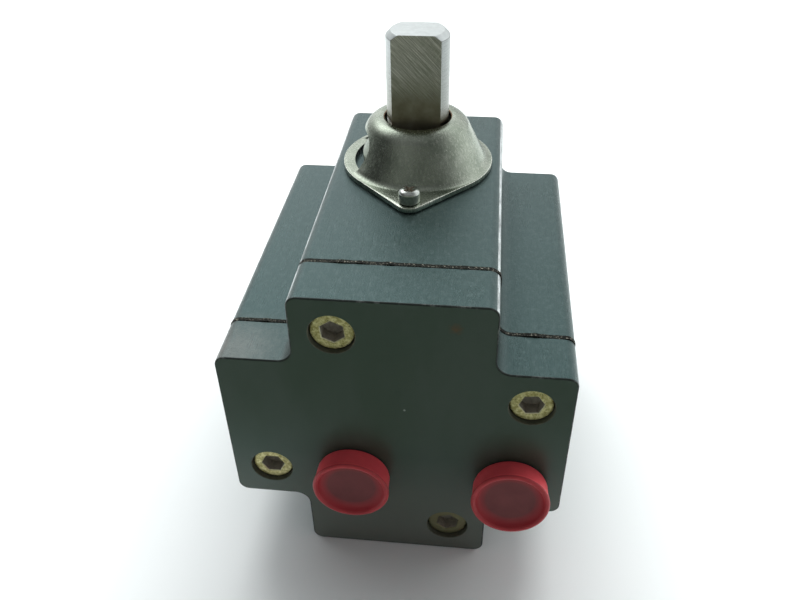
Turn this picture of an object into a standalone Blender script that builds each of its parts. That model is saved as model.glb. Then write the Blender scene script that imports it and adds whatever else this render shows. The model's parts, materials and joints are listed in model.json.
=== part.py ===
"""Rotary pneumatic actuator, quarter turn, rack and pinion.

A cross-shaped block holds one horizontal bore, closed at the rear and covered at the front by an
end cap that carries both air ports. A piston with an integral rack slides in the bore and turns a
vertical pinion shaft, whose flatted end stands up through a conical cover.

Frame: metres, +Z up along the shaft, -Y towards the end cap, +X to the right when the end cap is
seen from the front. The origin is on the shaft's axis, level with the bottom face.
"""

import math

import bmesh
import bpy
from mathutils import Matrix

# Driving dimensions
SECTION = 0.080  # width and height of the cross-shaped section
ARM = 0.0444  # width of each arm of the cross
CORNER_RADIUS = 0.0025
NOTCH_RADIUS = 0.0035
# Lifts the notch arcs off the arms' side lines, so that Booleans meet no long straight line.
NOTCH_RELIEF = 0.00004
EDGE_ROUND = 0.0007
GAP = 0.0002  # clearance left between pieces that touch
CUT_PAST = 0.0020  # how far a cutter runs past the face it opens
FRONT_Y = -0.0610  # outer face of the end cap, measured from the shaft axis
END_CAP_THICKNESS = 0.0129
GASKET_THICKNESS = 0.0013
BODY_LENGTH = 0.0765

BORE_RADIUS = 0.0240
BORE_END_Y = 0.0226
PORT_RADIUS = 0.0060
LEFT_PORT_X = -0.0102
RIGHT_PORT_X = 0.0276
PORT_DROP = 0.0130  # port centres below the bore axis
GALLERY_X = 0.0296  # air passage from the right port to the rear of the bore
GALLERY_RADIUS = 0.0030
CROSS_PORT_Y = 0.0160
CROSS_PORT_RADIUS = 0.0025
CROSS_PORT_X = (0.0170, 0.0360)
PLUG_RADIUS = 0.0037
PLUG_X = (0.0350, 0.0397)
PLUG_HEX = 0.0040
CAP_STANDS_OUT = 0.0056  # how far the port caps stand out from the end cap
CAP_RIM_RADIUS = 0.0092
CAP_STEM_RADIUS = 0.0057
CAP_STEM_LENGTH = 0.0084
CAP_FLOOR = (0.0024, 0.0040)
RIGHT_CAP_TILT = math.radians(5)  # the right cap is pushed in askew, facing slightly upwards
CAP_WALL = 0.0012

# Each end cap screw sits SCREW_NEAR along and SCREW_FAR out on its own arm.
SCREW_NEAR = 0.0129
SCREW_FAR = 0.0306
SCREW_RADIUS = 0.0030
SCREW_HEAD_RADIUS = 0.0050
SCREW_HEAD_HEIGHT = 0.0056
SCREW_HEAD_SUNK = 0.0010
COUNTERBORE_ROOM = 0.0002  # between a head's side and its counterbore
SCREW_LENGTH = 0.0200
SCREW_HEX = 0.0050
SCREW_HEX_DEPTH = 0.0030

SHAFT_TOP_Z = 0.1150
SHAFT_TOP_RADIUS = 0.0078
SHAFT_CHAMFER = 0.0013
SHAFT_JOURNAL_RADIUS = 0.0090
SHAFT_CORE_RADIUS = 0.0083
SHAFT_FOOT_RADIUS = 0.0114
SHAFT_FOOT_Z = 0.0010
SHAFT_FOOT_TOP_Z = 0.0168
SHAFT_STEP_Z = 0.0840
SHAFT_FLATS = 0.0099  # across the two flats
SHAFT_FLATS_FROM_Z = 0.0860
DRIVE_SQUARE = 0.0110
DRIVE_DEPTH = 0.0130
TOP_HOLE_RADIUS = 0.0120
BOTTOM_HOLE_RADIUS = 0.0145
UPPER_GROOVE_Z = (0.0817, 0.0831)
LOWER_GROOVE_Z = (0.0012, 0.0028)
GROOVE_RADIUS = 0.0082
GROOVE_DEPTH = 0.0011
RING_PLAY = 0.0002  # room above and below each retaining ring
SHOULDER_RADIUS = 0.0110
SHOULDER_Z = (0.0597, 0.0617)
UPPER_BEARING_Z = (0.0643, 0.0762)
LOWER_BEARING_Z = (0.0062, 0.0165)
INNER_WASHER_Z = (0.0620, 0.0640)
OUTER_WASHER_Z = (0.0802, 0.0815)
OUTER_WASHER_RADIUS = 0.0130
UPPER_SEAL = (0.0105, 0.0012, 0.0778)  # ring radius, section radius, height
LOWER_SEAL = (0.01295, 0.0013, 0.0045)

MODULE = 0.00125
TEETH = 16
PRESSURE_ANGLE = math.radians(20)
BACKLASH = 0.0004
PINION_Z = (0.028, 0.052)
RACK_Z = (0.030, 0.050)
RACK_BACK_X = 0.0208
RACK_TAIL_Y = 0.0055
RACK_ADDENDUM = 0.0010
RACK_TEETH = 7

PISTON_RADIUS = 0.0237
PISTON_FRONT_Y = -0.0452
PISTON_LENGTH = 0.0140
PISTON_CHAMFER = 0.0006
SEAL_GROOVE = (0.0030, 0.0072)  # measured back from the piston's front face, as is the band's groove
SEAL_GROOVE_RADIUS = 0.0199
PISTON_SEAL = (0.0219, 0.0018)  # ring radius, section radius
BAND_GROOVE = (0.0090, 0.0122)
BAND_GROOVE_RADIUS = 0.0222
PAD_Y = (-0.0100, 0.0045)
PAD_HALF_HEIGHT = 0.0090

COVER_Z = 0.0803  # underside of the cover's flange
COVER_SHEET = 0.0012
COVER_TOP_Z = 0.0932
COVER_FLANGE_RADIUS = 0.0193
COVER_TIP_RADIUS = 0.0034
COVER_TIP_Y = 0.0231
COVER_CONE_RADIUS = 0.0177
COVER_CONE_SLOPE = math.radians(64)
COVER_SHOULDER = 0.0042
COVER_HOLE_RADIUS = 0.00845
COVER_SCREW_RADIUS = 0.0014
COVER_SCREW_HEAD_RADIUS = 0.0026
COVER_SCREW_HEAD_HEIGHT = 0.0033
COVER_SCREW_TIP_Z = 0.0712
WINDOW_WIDTH = 0.0196  # an opening in the left side of the cone, with a rounded top
WINDOW_Z = (0.0819, 0.0903)
WINDOW_CORNER = 0.0050
COLLAR_RADIUS = 0.0142
COLLAR_TOP_RADIUS = 0.0108
COLLAR_Z = (0.0846, 0.0905)
COLLAR_SKIRT_RADIUS = 0.0117  # inside the skirt, which reaches down round the retaining ring
COLLAR_SKIRT_Z = (0.0818, 0.0838)

MOUNT_CIRCLE_RADIUS = 0.0210  # four tapped holes around the drive socket
MOUNT_HOLE_RADIUS = 0.0025
MOUNT_HOLE_DEPTH = 0.0110

AXIS_Z = SECTION / 2
END_CAP_BACK_Y = FRONT_Y + END_CAP_THICKNESS
GASKET_Y = (END_CAP_BACK_Y + GAP, END_CAP_BACK_Y + GAP + GASKET_THICKNESS)
BODY_Y = (GASKET_Y[1] + GAP, GASKET_Y[1] + GAP + BODY_LENGTH)
PORT_Z = AXIS_Z - PORT_DROP
PITCH_RADIUS = MODULE * TEETH / 2
SCREW_SEAT_Y = FRONT_Y + SCREW_HEAD_SUNK + SCREW_HEAD_HEIGHT + GAP

AXIS_TURN = {
    "X": Matrix.Rotation(math.radians(90), 4, "Y"),
    "Y": Matrix.Rotation(math.radians(-90), 4, "X"),
    "Z": Matrix.Identity(4),
}


def clear_scene():
    for thing in list(bpy.data.objects):
        bpy.data.objects.remove(thing)


def new_collection(name):
    collection = bpy.data.collections.new(name)
    bpy.context.scene.collection.children.link(collection)
    return collection


def new_material(name, color, roughness, metallic=0.0):
    material = bpy.data.materials.new(name)
    material.use_nodes = True
    shader = material.node_tree.nodes["Principled BSDF"]
    shader.inputs["Base Color"].default_value = (*color, 1)
    shader.inputs["Roughness"].default_value = roughness
    shader.inputs["Metallic"].default_value = metallic
    return material


clear_scene()
PARTS = new_collection("rotary_actuator")
CUTTERS = new_collection("cutters")
CUTTERS.hide_render = True

ANODISED = new_material("black_anodised", (0.045, 0.055, 0.055), 0.45, 0.6)
STEEL = new_material("ground_steel", (0.55, 0.54, 0.52), 0.35, 1.0)
STAINLESS = new_material("satin_stainless", (0.50, 0.50, 0.46), 0.4, 1.0)
ZINC = new_material("yellow_zinc", (0.45, 0.40, 0.24), 0.4, 1.0)
RED_PLASTIC = new_material("red_plastic", (0.55, 0.01, 0.03), 0.4)
RUBBER = new_material("black_rubber", (0.02, 0.02, 0.02), 0.8)
BARE_ALUMINIUM = new_material("bare_aluminium", (0.6, 0.6, 0.62), 0.4, 1.0)
BEARING = new_material("bearing_plastic", (0.75, 0.72, 0.62), 0.5)


def finish(name, mesh, material, smooth_angle=35):
    thing = bpy.data.objects.new(name, mesh)
    if material is None:
        CUTTERS.objects.link(thing)
        thing.hide_render = True
        thing.display_type = "WIRE"
        return thing
    PARTS.objects.link(thing)
    mesh.materials.append(material)
    mesh.shade_smooth()
    mesh.set_sharp_from_angle(angle=math.radians(smooth_angle))
    return thing


def cylinder(name, radius, start, end, axis="Z", centre=(0, 0), material=None, segments=24):
    """A cylinder from start to end along the axis; centre holds its other two coordinates."""
    bm = bmesh.new()
    bmesh.ops.create_cone(
        bm,
        cap_ends=True,
        segments=segments,
        radius1=radius,
        radius2=radius,
        depth=end - start,
    )
    middle = (start + end) / 2
    place = {
        "X": (middle, centre[0], centre[1]),
        "Y": (centre[0], middle, centre[1]),
        "Z": (centre[0], centre[1], middle),
    }[axis]
    bm.transform(AXIS_TURN[axis])
    mesh = bpy.data.meshes.new(name)
    bm.to_mesh(mesh)
    bm.free()
    thing = finish(name, mesh, material)
    thing.location = place
    return thing


def box(name, low, high, material=None):
    bm = bmesh.new()
    bmesh.ops.create_cube(bm, size=1)
    size = [high[i] - low[i] for i in range(3)]
    bmesh.ops.scale(bm, vec=size, verts=bm.verts)
    mesh = bpy.data.meshes.new(name)
    bm.to_mesh(mesh)
    bm.free()
    thing = finish(name, mesh, material)
    thing.location = [(high[i] + low[i]) / 2 for i in range(3)]
    return thing


def extruded(name, outline, start, end, axis="Z", material=None):
    """A flat closed outline, made solid between two places along the axis."""
    curve = bpy.data.curves.new(name, "CURVE")
    curve.dimensions = "2D"
    curve.fill_mode = "BOTH"
    curve.extrude = (end - start) / 2
    spline = curve.splines.new("POLY")
    spline.points.add(len(outline) - 1)
    for point, (x, y) in zip(spline.points, outline):
        point.co = (x, y, 0, 1)
    spline.use_cyclic_u = True
    guide = bpy.data.objects.new(name + "_outline", curve)
    PARTS.objects.link(guide)
    bpy.context.view_layer.update()
    graph = bpy.context.evaluated_depsgraph_get()
    mesh = bpy.data.meshes.new_from_object(guide.evaluated_get(graph))
    bpy.data.objects.remove(guide)
    bm = bmesh.new()
    bm.from_mesh(mesh)
    bmesh.ops.remove_doubles(bm, verts=bm.verts, dist=1e-6)
    bmesh.ops.recalc_face_normals(bm, faces=bm.faces)
    bmesh.ops.dissolve_limit(bm, angle_limit=math.radians(0.1), verts=bm.verts, edges=bm.edges)
    middle = (start + end) / 2
    if axis == "X":
        # The outline's own axes become Y and Z.
        bm.transform(Matrix.Rotation(math.radians(90), 4, "Y") @ Matrix.Rotation(math.radians(90), 4, "Z"))
        bm.transform(Matrix.Translation((middle, 0, 0)))
    elif axis == "Y":
        # The outline's own axes become X and Z.
        bm.transform(Matrix.Rotation(math.radians(90), 4, "X"))
        bm.transform(Matrix.Translation((0, middle, 0)))
    else:
        bm.transform(Matrix.Translation((0, 0, middle)))
    bm.to_mesh(mesh)
    bm.free()
    mesh.name = name
    mesh.materials.clear()
    return finish(name, mesh, material)


def turned(name, profile, material=None, axis="Z", place=(0, 0, 0), segments=32, ring=False):
    """A profile of (radius, height) points, outer side first from the top down, turned about the axis."""
    bm = bmesh.new()
    corners = [bm.verts.new((radius, 0, height)) for radius, height in profile]
    for first, second in zip(corners, corners[1:]):
        bm.edges.new((first, second))
    if ring:
        bm.edges.new((corners[-1], corners[0]))
    mesh = bpy.data.meshes.new(name)
    bm.to_mesh(mesh)
    bm.free()
    thing = bpy.data.objects.new(name, mesh)
    screw = thing.modifiers.new("turn", "SCREW")
    screw.steps = segments
    screw.render_steps = segments
    screw.use_merge_vertices = True
    screw.merge_threshold = 1e-6
    PARTS.objects.link(thing)
    bpy.context.view_layer.update()
    graph = bpy.context.evaluated_depsgraph_get()
    solid = bpy.data.meshes.new_from_object(thing.evaluated_get(graph))
    bpy.data.objects.remove(thing)
    solid.name = name
    solid.transform(AXIS_TURN[axis])
    thing = finish(name, solid, material)
    thing.location = place
    return thing


def boolean(thing, other, operation="DIFFERENCE"):
    modifier = thing.modifiers.new(operation.lower() + "_" + other.name, "BOOLEAN")
    modifier.operation = operation
    modifier.solver = "EXACT"
    modifier.object = other


def bevel_edges(thing, width, segments=1, angle=60):
    modifier = thing.modifiers.new("edges", "BEVEL")
    modifier.width = width
    modifier.segments = segments
    modifier.limit_method = "ANGLE"
    modifier.angle_limit = math.radians(angle)


def arc(centre, radius, start, end, steps):
    """Points on a circular arc, angles in degrees."""
    angles = [math.radians(start + (end - start) * i / steps) for i in range(steps + 1)]
    return [(centre[0] + radius * math.cos(a), centre[1] + radius * math.sin(a)) for a in angles]


def cross_outline():
    """The cross-shaped section, about the bore axis at height AXIS_Z."""
    half = SECTION / 2
    arm = ARM / 2
    corner = CORNER_RADIUS
    notch = NOTCH_RADIUS
    quarter = arc((half - corner, arm - corner), corner, 0, 90, 3)
    inner = arm + notch + NOTCH_RELIEF
    quarter += arc((inner, inner), notch, 270, 180, 3)
    quarter += arc((arm - corner, half - corner), corner, 0, 90, 3)
    outline = []
    for turn in range(4):
        a = math.radians(90 * turn)
        c = math.cos(a)
        s = math.sin(a)
        outline += [(x * c - y * s, x * s + y * c + AXIS_Z) for x, y in quarter]
    return outline


def screw_places():
    """Name and (x, z) of each end cap screw: one to each arm, turning round the cross."""
    return {
        "top": (-SCREW_NEAR, AXIS_Z + SCREW_FAR),
        "right": (SCREW_FAR, AXIS_Z + SCREW_NEAR),
        "bottom": (SCREW_NEAR, AXIS_Z - SCREW_FAR),
        "left": (-SCREW_FAR, AXIS_Z - SCREW_NEAR),
    }


def cut_screw_holes(thing, label, radius, start, end):
    for name, place in screw_places().items():
        boolean(thing, cylinder(f"{label}_{name}", radius, start, end, "Y", place, segments=16))


def make_body():
    body = extruded("body", cross_outline(), *BODY_Y, "Y", ANODISED)
    bevel_edges(body, EDGE_ROUND)
    front = BODY_Y[0] - CUT_PAST
    groove_radius = BOTTOM_HOLE_RADIUS + GROOVE_DEPTH
    boolean(body, cylinder("cut_bore", BORE_RADIUS, front, BORE_END_Y, "Y", (0, AXIS_Z), segments=48))
    boolean(body, cylinder("cut_top_hole", TOP_HOLE_RADIUS, AXIS_Z, SECTION + CUT_PAST, segments=32))
    boolean(body, cylinder("cut_bottom_hole", BOTTOM_HOLE_RADIUS, -CUT_PAST, AXIS_Z, segments=32))
    boolean(body, cylinder("cut_ring_groove", groove_radius, *LOWER_GROOVE_Z, segments=32))
    cut_screw_holes(body, "cut_tapped_hole", SCREW_RADIUS + GAP, front, BODY_Y[0] + SCREW_LENGTH)
    gallery = (GALLERY_X, PORT_Z)
    cross_port = (CROSS_PORT_Y, PORT_Z)
    gallery_end = CROSS_PORT_Y + GALLERY_RADIUS
    plug_seat = PLUG_RADIUS + 0.0003
    seat_start = PLUG_X[0] - 0.0005
    side = SECTION / 2 + CUT_PAST
    boolean(body, cylinder("cut_gallery", GALLERY_RADIUS, front, gallery_end, "Y", gallery, segments=12))
    drilling = cylinder("cut_cross_port", CROSS_PORT_RADIUS, *CROSS_PORT_X, "X", cross_port, segments=12)
    boolean(body, drilling)
    boolean(body, cylinder("cut_plug_seat", plug_seat, seat_start, side, "X", cross_port, segments=20))
    for name, y in (("front", -COVER_TIP_Y), ("rear", COVER_TIP_Y)):
        hole = (COVER_SCREW_RADIUS + 0.0003, COVER_SCREW_TIP_Z - 0.0007, SECTION + CUT_PAST)
        boolean(body, cylinder(f"cut_cover_screw_{name}", *hole, "Z", (0, y), segments=12))
    step = MOUNT_CIRCLE_RADIUS / math.sqrt(2)
    for i, (x, y) in enumerate(((step, step), (-step, step), (-step, -step), (step, -step))):
        hole = (MOUNT_HOLE_RADIUS, -CUT_PAST, MOUNT_HOLE_DEPTH)
        boolean(body, cylinder(f"cut_mount_{i}", *hole, "Z", (x, y), segments=12))


def make_gallery_plug():
    place = (CROSS_PORT_Y, PORT_Z)
    plug = cylinder("gallery_plug", PLUG_RADIUS, *PLUG_X, "X", place, STEEL, 20)
    socket = (PLUG_HEX / math.sqrt(3), PLUG_X[1] - 0.0025, PLUG_X[1] + CUT_PAST)
    boolean(plug, cylinder("cut_plug_hex", *socket, "X", place, segments=6))


def make_gasket():
    gasket = extruded("end_cap_gasket", cross_outline(), *GASKET_Y, "Y", RUBBER)
    start = GASKET_Y[0] - CUT_PAST
    end = GASKET_Y[1] + CUT_PAST
    bore = BORE_RADIUS + 0.0005
    passage = GALLERY_RADIUS + GAP
    gallery = (GALLERY_X, PORT_Z)
    boolean(gasket, cylinder("cut_gasket_bore", bore, start, end, "Y", (0, AXIS_Z), segments=40))
    boolean(gasket, cylinder("cut_gasket_gallery", passage, start, end, "Y", gallery, segments=12))
    cut_screw_holes(gasket, "cut_gasket_hole", SCREW_RADIUS + 0.0004, start, end)


def make_end_cap():
    cap = extruded("end_cap", cross_outline(), FRONT_Y, END_CAP_BACK_Y, "Y", ANODISED)
    bevel_edges(cap, EDGE_ROUND)
    start = FRONT_Y - CUT_PAST
    end = END_CAP_BACK_Y + CUT_PAST
    cut_screw_holes(cap, "cut_clearance_hole", SCREW_RADIUS + 0.0003, start, end)
    cut_screw_holes(cap, "cut_counterbore", SCREW_HEAD_RADIUS + COUNTERBORE_ROOM, start, SCREW_SEAT_Y)
    for side, x in (("left", LEFT_PORT_X), ("right", RIGHT_PORT_X)):
        boolean(cap, cylinder(f"cut_{side}_port", PORT_RADIUS, start, end, "Y", (x, PORT_Z), segments=24))


def make_end_cap_screws():
    under = SCREW_SEAT_Y - GAP
    chamfer = 0.0005
    # Heights run along -Y, from the head's face towards the tip.
    profile = [
        (0, SCREW_HEAD_HEIGHT),
        (SCREW_HEAD_RADIUS - chamfer, SCREW_HEAD_HEIGHT),
        (SCREW_HEAD_RADIUS, SCREW_HEAD_HEIGHT - chamfer),
        (SCREW_HEAD_RADIUS, 0),
        (SCREW_RADIUS, 0),
        (SCREW_RADIUS, -SCREW_LENGTH + chamfer),
        (SCREW_RADIUS - chamfer, -SCREW_LENGTH),
        (0, -SCREW_LENGTH),
    ]
    for name, (x, z) in screw_places().items():
        # The turned screw points along +Y from head to tip, so it is flipped end for end.
        screw = turned(f"end_cap_screw_{name}", profile, ZINC, "Y", (x, under, z), 20)
        screw.rotation_euler = (0, 0, math.pi)
        radius = SCREW_HEX / math.sqrt(3)
        face = under - SCREW_HEAD_HEIGHT
        socket = (radius, face - CUT_PAST, face + SCREW_HEX_DEPTH)
        hexagon = cylinder(f"cut_hex_{name}", *socket, "Y", (x, z), segments=6)
        boolean(screw, hexagon)


def ring_profile(inner, outer, low, high):
    return [(outer, high), (outer, low), (inner, low), (inner, high)]


def torus_profile(major, minor, height, steps=6):
    """A round ring section, run down its outer side."""
    points = []
    for i in range(steps):
        a = math.pi / 2 - 2 * math.pi * (i + 0.5) / steps
        points.append((major + minor * math.cos(a), height + minor * math.sin(a)))
    return points


def make_piston():
    length = PISTON_LENGTH
    chamfer = PISTON_CHAMFER
    # Heights run from the head's front face towards the rack.
    profile = [
        (0, length),
        (PISTON_RADIUS - chamfer, length),
        (PISTON_RADIUS, length - chamfer),
        (PISTON_RADIUS, BAND_GROOVE[1]),
        (BAND_GROOVE_RADIUS, BAND_GROOVE[1]),
        (BAND_GROOVE_RADIUS, BAND_GROOVE[0]),
        (PISTON_RADIUS, BAND_GROOVE[0]),
        (PISTON_RADIUS, SEAL_GROOVE[1]),
        (SEAL_GROOVE_RADIUS, SEAL_GROOVE[1]),
        (SEAL_GROOVE_RADIUS, SEAL_GROOVE[0]),
        (PISTON_RADIUS, SEAL_GROOVE[0]),
        (PISTON_RADIUS, chamfer),
        (PISTON_RADIUS - chamfer, 0),
        (0, 0),
    ]
    place = (0, PISTON_FRONT_Y, AXIS_Z)
    piston = turned("piston", profile, BARE_ALUMINIUM, "Y", place, 40)
    boolean(piston, extruded("rack_bar", rack_outline(), *RACK_Z), "UNION")
    seal_profile = torus_profile(*PISTON_SEAL, sum(SEAL_GROOVE) / 2)
    turned("piston_seal", seal_profile, RUBBER, "Y", place, 32, ring=True)
    low, high = BAND_GROOVE
    band_profile = ring_profile(BAND_GROOVE_RADIUS + GAP, BORE_RADIUS - GAP, low + GAP, high - GAP)
    turned("piston_guide_band", band_profile, BEARING, "Y", place, 40, ring=True)


def rack_outline():
    """The rack bar from above: its back on +X, its teeth towards the shaft, its tail on +Y."""
    pitch = math.pi * MODULE
    slope = math.tan(PRESSURE_ANGLE)
    tip_x = PITCH_RADIUS - RACK_ADDENDUM
    root_x = PITCH_RADIUS + 1.25 * MODULE
    half = pitch / 4 - BACKLASH / 2
    tip = half - RACK_ADDENDUM * slope
    root = half + 1.25 * MODULE * slope
    head_y = PISTON_FRONT_Y + PISTON_LENGTH - 0.002
    outline = [(RACK_BACK_X, head_y), (RACK_BACK_X, RACK_TAIL_Y), (root_x, RACK_TAIL_Y)]
    # A pinion tooth points at the rack, so a gap of the rack is centred on the shaft axis.
    teeth = [pitch * (0.5 - i) for i in range(RACK_TEETH)]
    for y in teeth:
        outline += [(root_x, y + root), (tip_x, y + tip), (tip_x, y - tip), (root_x, y - root)]
    outline.append((root_x, head_y))
    return outline


def make_guide_pad():
    """A plastic strip that backs the rack against the bore."""
    pad = cylinder("rack_guide_pad", BORE_RADIUS - GAP, *PAD_Y, "Y", (0, AXIS_Z), BEARING, 48)
    low = (RACK_BACK_X + GAP, PAD_Y[0] - CUT_PAST, AXIS_Z - PAD_HALF_HEIGHT)
    high = (BORE_RADIUS + CUT_PAST, PAD_Y[1] + CUT_PAST, AXIS_Z + PAD_HALF_HEIGHT)
    boolean(pad, box("keep_pad", low, high), "INTERSECT")


def pinion_outline():
    """Involute teeth about the shaft axis, one of them pointing along +X."""
    base = PITCH_RADIUS * math.cos(PRESSURE_ANGLE)
    tip = PITCH_RADIUS + MODULE
    root = PITCH_RADIUS - 1.25 * MODULE
    involute = math.tan(PRESSURE_ANGLE) - PRESSURE_ANGLE
    half = math.pi / (2 * TEETH) - BACKLASH / (2 * PITCH_RADIUS)
    flank = []
    steps = 2
    for i in range(steps + 1):
        radius = base + (tip - base) * i / steps
        angle = math.acos(min(1, base / radius))
        flank.append((radius, half + involute - (math.tan(angle) - angle)))
    outline = []
    for tooth in range(TEETH):
        centre = 2 * math.pi * tooth / TEETH
        points = [(root, -flank[0][1])] + [(r, -a) for r, a in flank]
        points += [(r, a) for r, a in reversed(flank)] + [(root, flank[0][1])]
        outline += [(r * math.cos(centre + a), r * math.sin(centre + a)) for r, a in points]
    return outline


def make_pinion_shaft():
    top = SHAFT_TOP_Z
    profile = [
        (0, top),
        (SHAFT_TOP_RADIUS - SHAFT_CHAMFER, top),
        (SHAFT_TOP_RADIUS, top - SHAFT_CHAMFER),
        (SHAFT_TOP_RADIUS, SHAFT_STEP_Z + 0.0005),
        (SHAFT_JOURNAL_RADIUS, SHAFT_STEP_Z),
        (SHAFT_JOURNAL_RADIUS, UPPER_GROOVE_Z[1]),
        (GROOVE_RADIUS, UPPER_GROOVE_Z[1]),
        (GROOVE_RADIUS, UPPER_GROOVE_Z[0]),
        (SHAFT_JOURNAL_RADIUS, UPPER_GROOVE_Z[0]),
        (SHAFT_JOURNAL_RADIUS, SHOULDER_Z[1]),
        (SHOULDER_RADIUS, SHOULDER_Z[1]),
        (SHOULDER_RADIUS, SHOULDER_Z[0]),
        (SHAFT_CORE_RADIUS, SHOULDER_Z[0] - 0.0007),
        (SHAFT_CORE_RADIUS, SHAFT_FOOT_TOP_Z + 0.0006),
        (SHAFT_FOOT_RADIUS, SHAFT_FOOT_TOP_Z),
        (SHAFT_FOOT_RADIUS, SHAFT_FOOT_Z + 0.0005),
        (SHAFT_FOOT_RADIUS - 0.0005, SHAFT_FOOT_Z),
        (0, SHAFT_FOOT_Z),
    ]
    shaft = turned("pinion_shaft", profile, STEEL, segments=40)
    boolean(shaft, extruded("pinion_teeth", pinion_outline(), *PINION_Z), "UNION")
    half = SHAFT_FLATS / 2
    wide = SHAFT_TOP_RADIUS + CUT_PAST
    for name, low_y, high_y in (("front", -wide, -half), ("rear", half, wide)):
        low = (-wide, low_y, SHAFT_FLATS_FROM_Z)
        boolean(shaft, box(f"cut_{name}_flat", low, (wide, high_y, top + CUT_PAST)))
    half = DRIVE_SQUARE / 2
    high_z = SHAFT_FOOT_Z + DRIVE_DEPTH
    boolean(shaft, box("cut_drive_square", (-half, -half, -CUT_PAST), (half, half, high_z)))


def make_shaft_bearings():
    inner = SHAFT_JOURNAL_RADIUS + GAP
    outer = TOP_HOLE_RADIUS - GAP
    turned("upper_bearing", ring_profile(inner, outer, *UPPER_BEARING_Z), BEARING, ring=True)
    turned("upper_shaft_seal", torus_profile(*UPPER_SEAL), RUBBER, segments=28, ring=True)
    turned("inner_thrust_washer", ring_profile(inner, outer, *INNER_WASHER_Z), BEARING, ring=True)
    washer_profile = ring_profile(inner, OUTER_WASHER_RADIUS, *OUTER_WASHER_Z)
    turned("outer_thrust_washer", washer_profile, BEARING, ring=True)
    inner = SHAFT_FOOT_RADIUS + GAP
    outer = BOTTOM_HOLE_RADIUS - GAP
    turned("lower_bearing", ring_profile(inner, outer, *LOWER_BEARING_Z), BEARING, ring=True)
    turned("lower_shaft_seal", torus_profile(*LOWER_SEAL), RUBBER, segments=28, ring=True)


def make_retaining_rings():
    """Each ring is open on one side, so that it springs into its groove."""
    low, high = UPPER_GROOVE_Z
    upper_profile = ring_profile(GROOVE_RADIUS + GAP, 0.0112, low + RING_PLAY, high - RING_PLAY)
    upper = turned("upper_retaining_ring", upper_profile, STEEL, ring=True)
    gap = (0.0040, 0.0150)  # width of the open side, and how far out it runs
    boolean(upper, box("cut_upper_ring_gap", (-gap[0] / 2, 0, low), (gap[0] / 2, gap[1], high)))
    low, high = LOWER_GROOVE_Z
    lower_outer = BOTTOM_HOLE_RADIUS + GROOVE_DEPTH - GAP
    lower_profile = ring_profile(0.0122, lower_outer, low + RING_PLAY, high - RING_PLAY)
    lower = turned("lower_retaining_ring", lower_profile, STEEL, ring=True)
    gap = (0.0050, 0.0180)
    boolean(lower, box("cut_lower_ring_gap", (-gap[0] / 2, 0, low), (gap[0] / 2, gap[1], high)))


def cone_profile(offset):
    """One side of the cover's wall, from the top hole down to the flange, moved in by offset."""
    slope = COVER_CONE_SLOPE
    radius = COVER_SHOULDER
    drop = COVER_TOP_Z - radius
    base_z = COVER_Z + COVER_SHEET
    centre = COVER_CONE_RADIUS - (radius + (drop - base_z) * math.cos(slope)) / math.sin(slope)
    round_radius = radius - offset
    points = [(COVER_HOLE_RADIUS, drop + round_radius)]
    steps = 4
    for i in range(steps + 1):
        a = slope * i / steps
        points.append((centre + round_radius * math.sin(a), drop + round_radius * math.cos(a)))
    points.append((COVER_CONE_RADIUS - offset / math.sin(slope), base_z))
    return points


def flange_outline():
    """A large round middle drawn out to a small round tip at the front and at the rear."""
    lean = math.degrees(math.asin((COVER_FLANGE_RADIUS - COVER_TIP_RADIUS) / COVER_TIP_Y))
    outline = arc((0, 0), COVER_FLANGE_RADIUS, -lean, lean, 8)
    outline += arc((0, COVER_TIP_Y), COVER_TIP_RADIUS, lean, 180 - lean, 5)
    outline += arc((0, 0), COVER_FLANGE_RADIUS, 180 - lean, 180 + lean, 8)
    outline += arc((0, -COVER_TIP_Y), COVER_TIP_RADIUS, 180 + lean, 360 - lean, 5)
    return outline


def window_outline():
    """The window from its side, as (y, z): an arch with a wide top, standing on its sill."""
    sill, top = WINDOW_Z
    half = WINDOW_WIDTH / 2
    corner = WINDOW_CORNER
    outline = [(half, sill)]
    outline += arc((half - corner, top - corner), corner, 0, 90, 6)
    outline += arc((corner - half, top - corner), corner, 90, 180, 6)
    outline.append((-half, sill))
    return outline


def make_cover():
    """A cone on a two-eared flange, with a window in one side of the cone."""
    wall = 0.0014
    inside = cone_profile(wall)
    outside = cone_profile(0)
    foot = COVER_Z + 0.0004
    profile = outside + [(outside[-1][0], foot), (inside[-1][0], foot)] + inside[::-1]
    cover = turned("shaft_cover", profile, STAINLESS, segments=48, ring=True)
    reach = COVER_FLANGE_RADIUS + CUT_PAST
    boolean(cover, extruded("cut_window", window_outline(), -reach, -COVER_HOLE_RADIUS, "X"))
    flange = extruded("cover_flange", flange_outline(), COVER_Z, COVER_Z + COVER_SHEET)
    past = (COVER_Z - CUT_PAST, COVER_Z + COVER_SHEET + CUT_PAST)
    boolean(flange, cylinder("cut_flange_middle", COVER_CONE_RADIUS - 0.0010, *past, segments=48))
    boolean(cover, flange, "UNION")
    for side, y in (("front", -COVER_TIP_Y), ("rear", COVER_TIP_Y)):
        hole = COVER_SCREW_RADIUS + 0.0004
        boolean(cover, cylinder(f"cut_cover_{side}", hole, *past, "Z", (0, y), segments=12))


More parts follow.
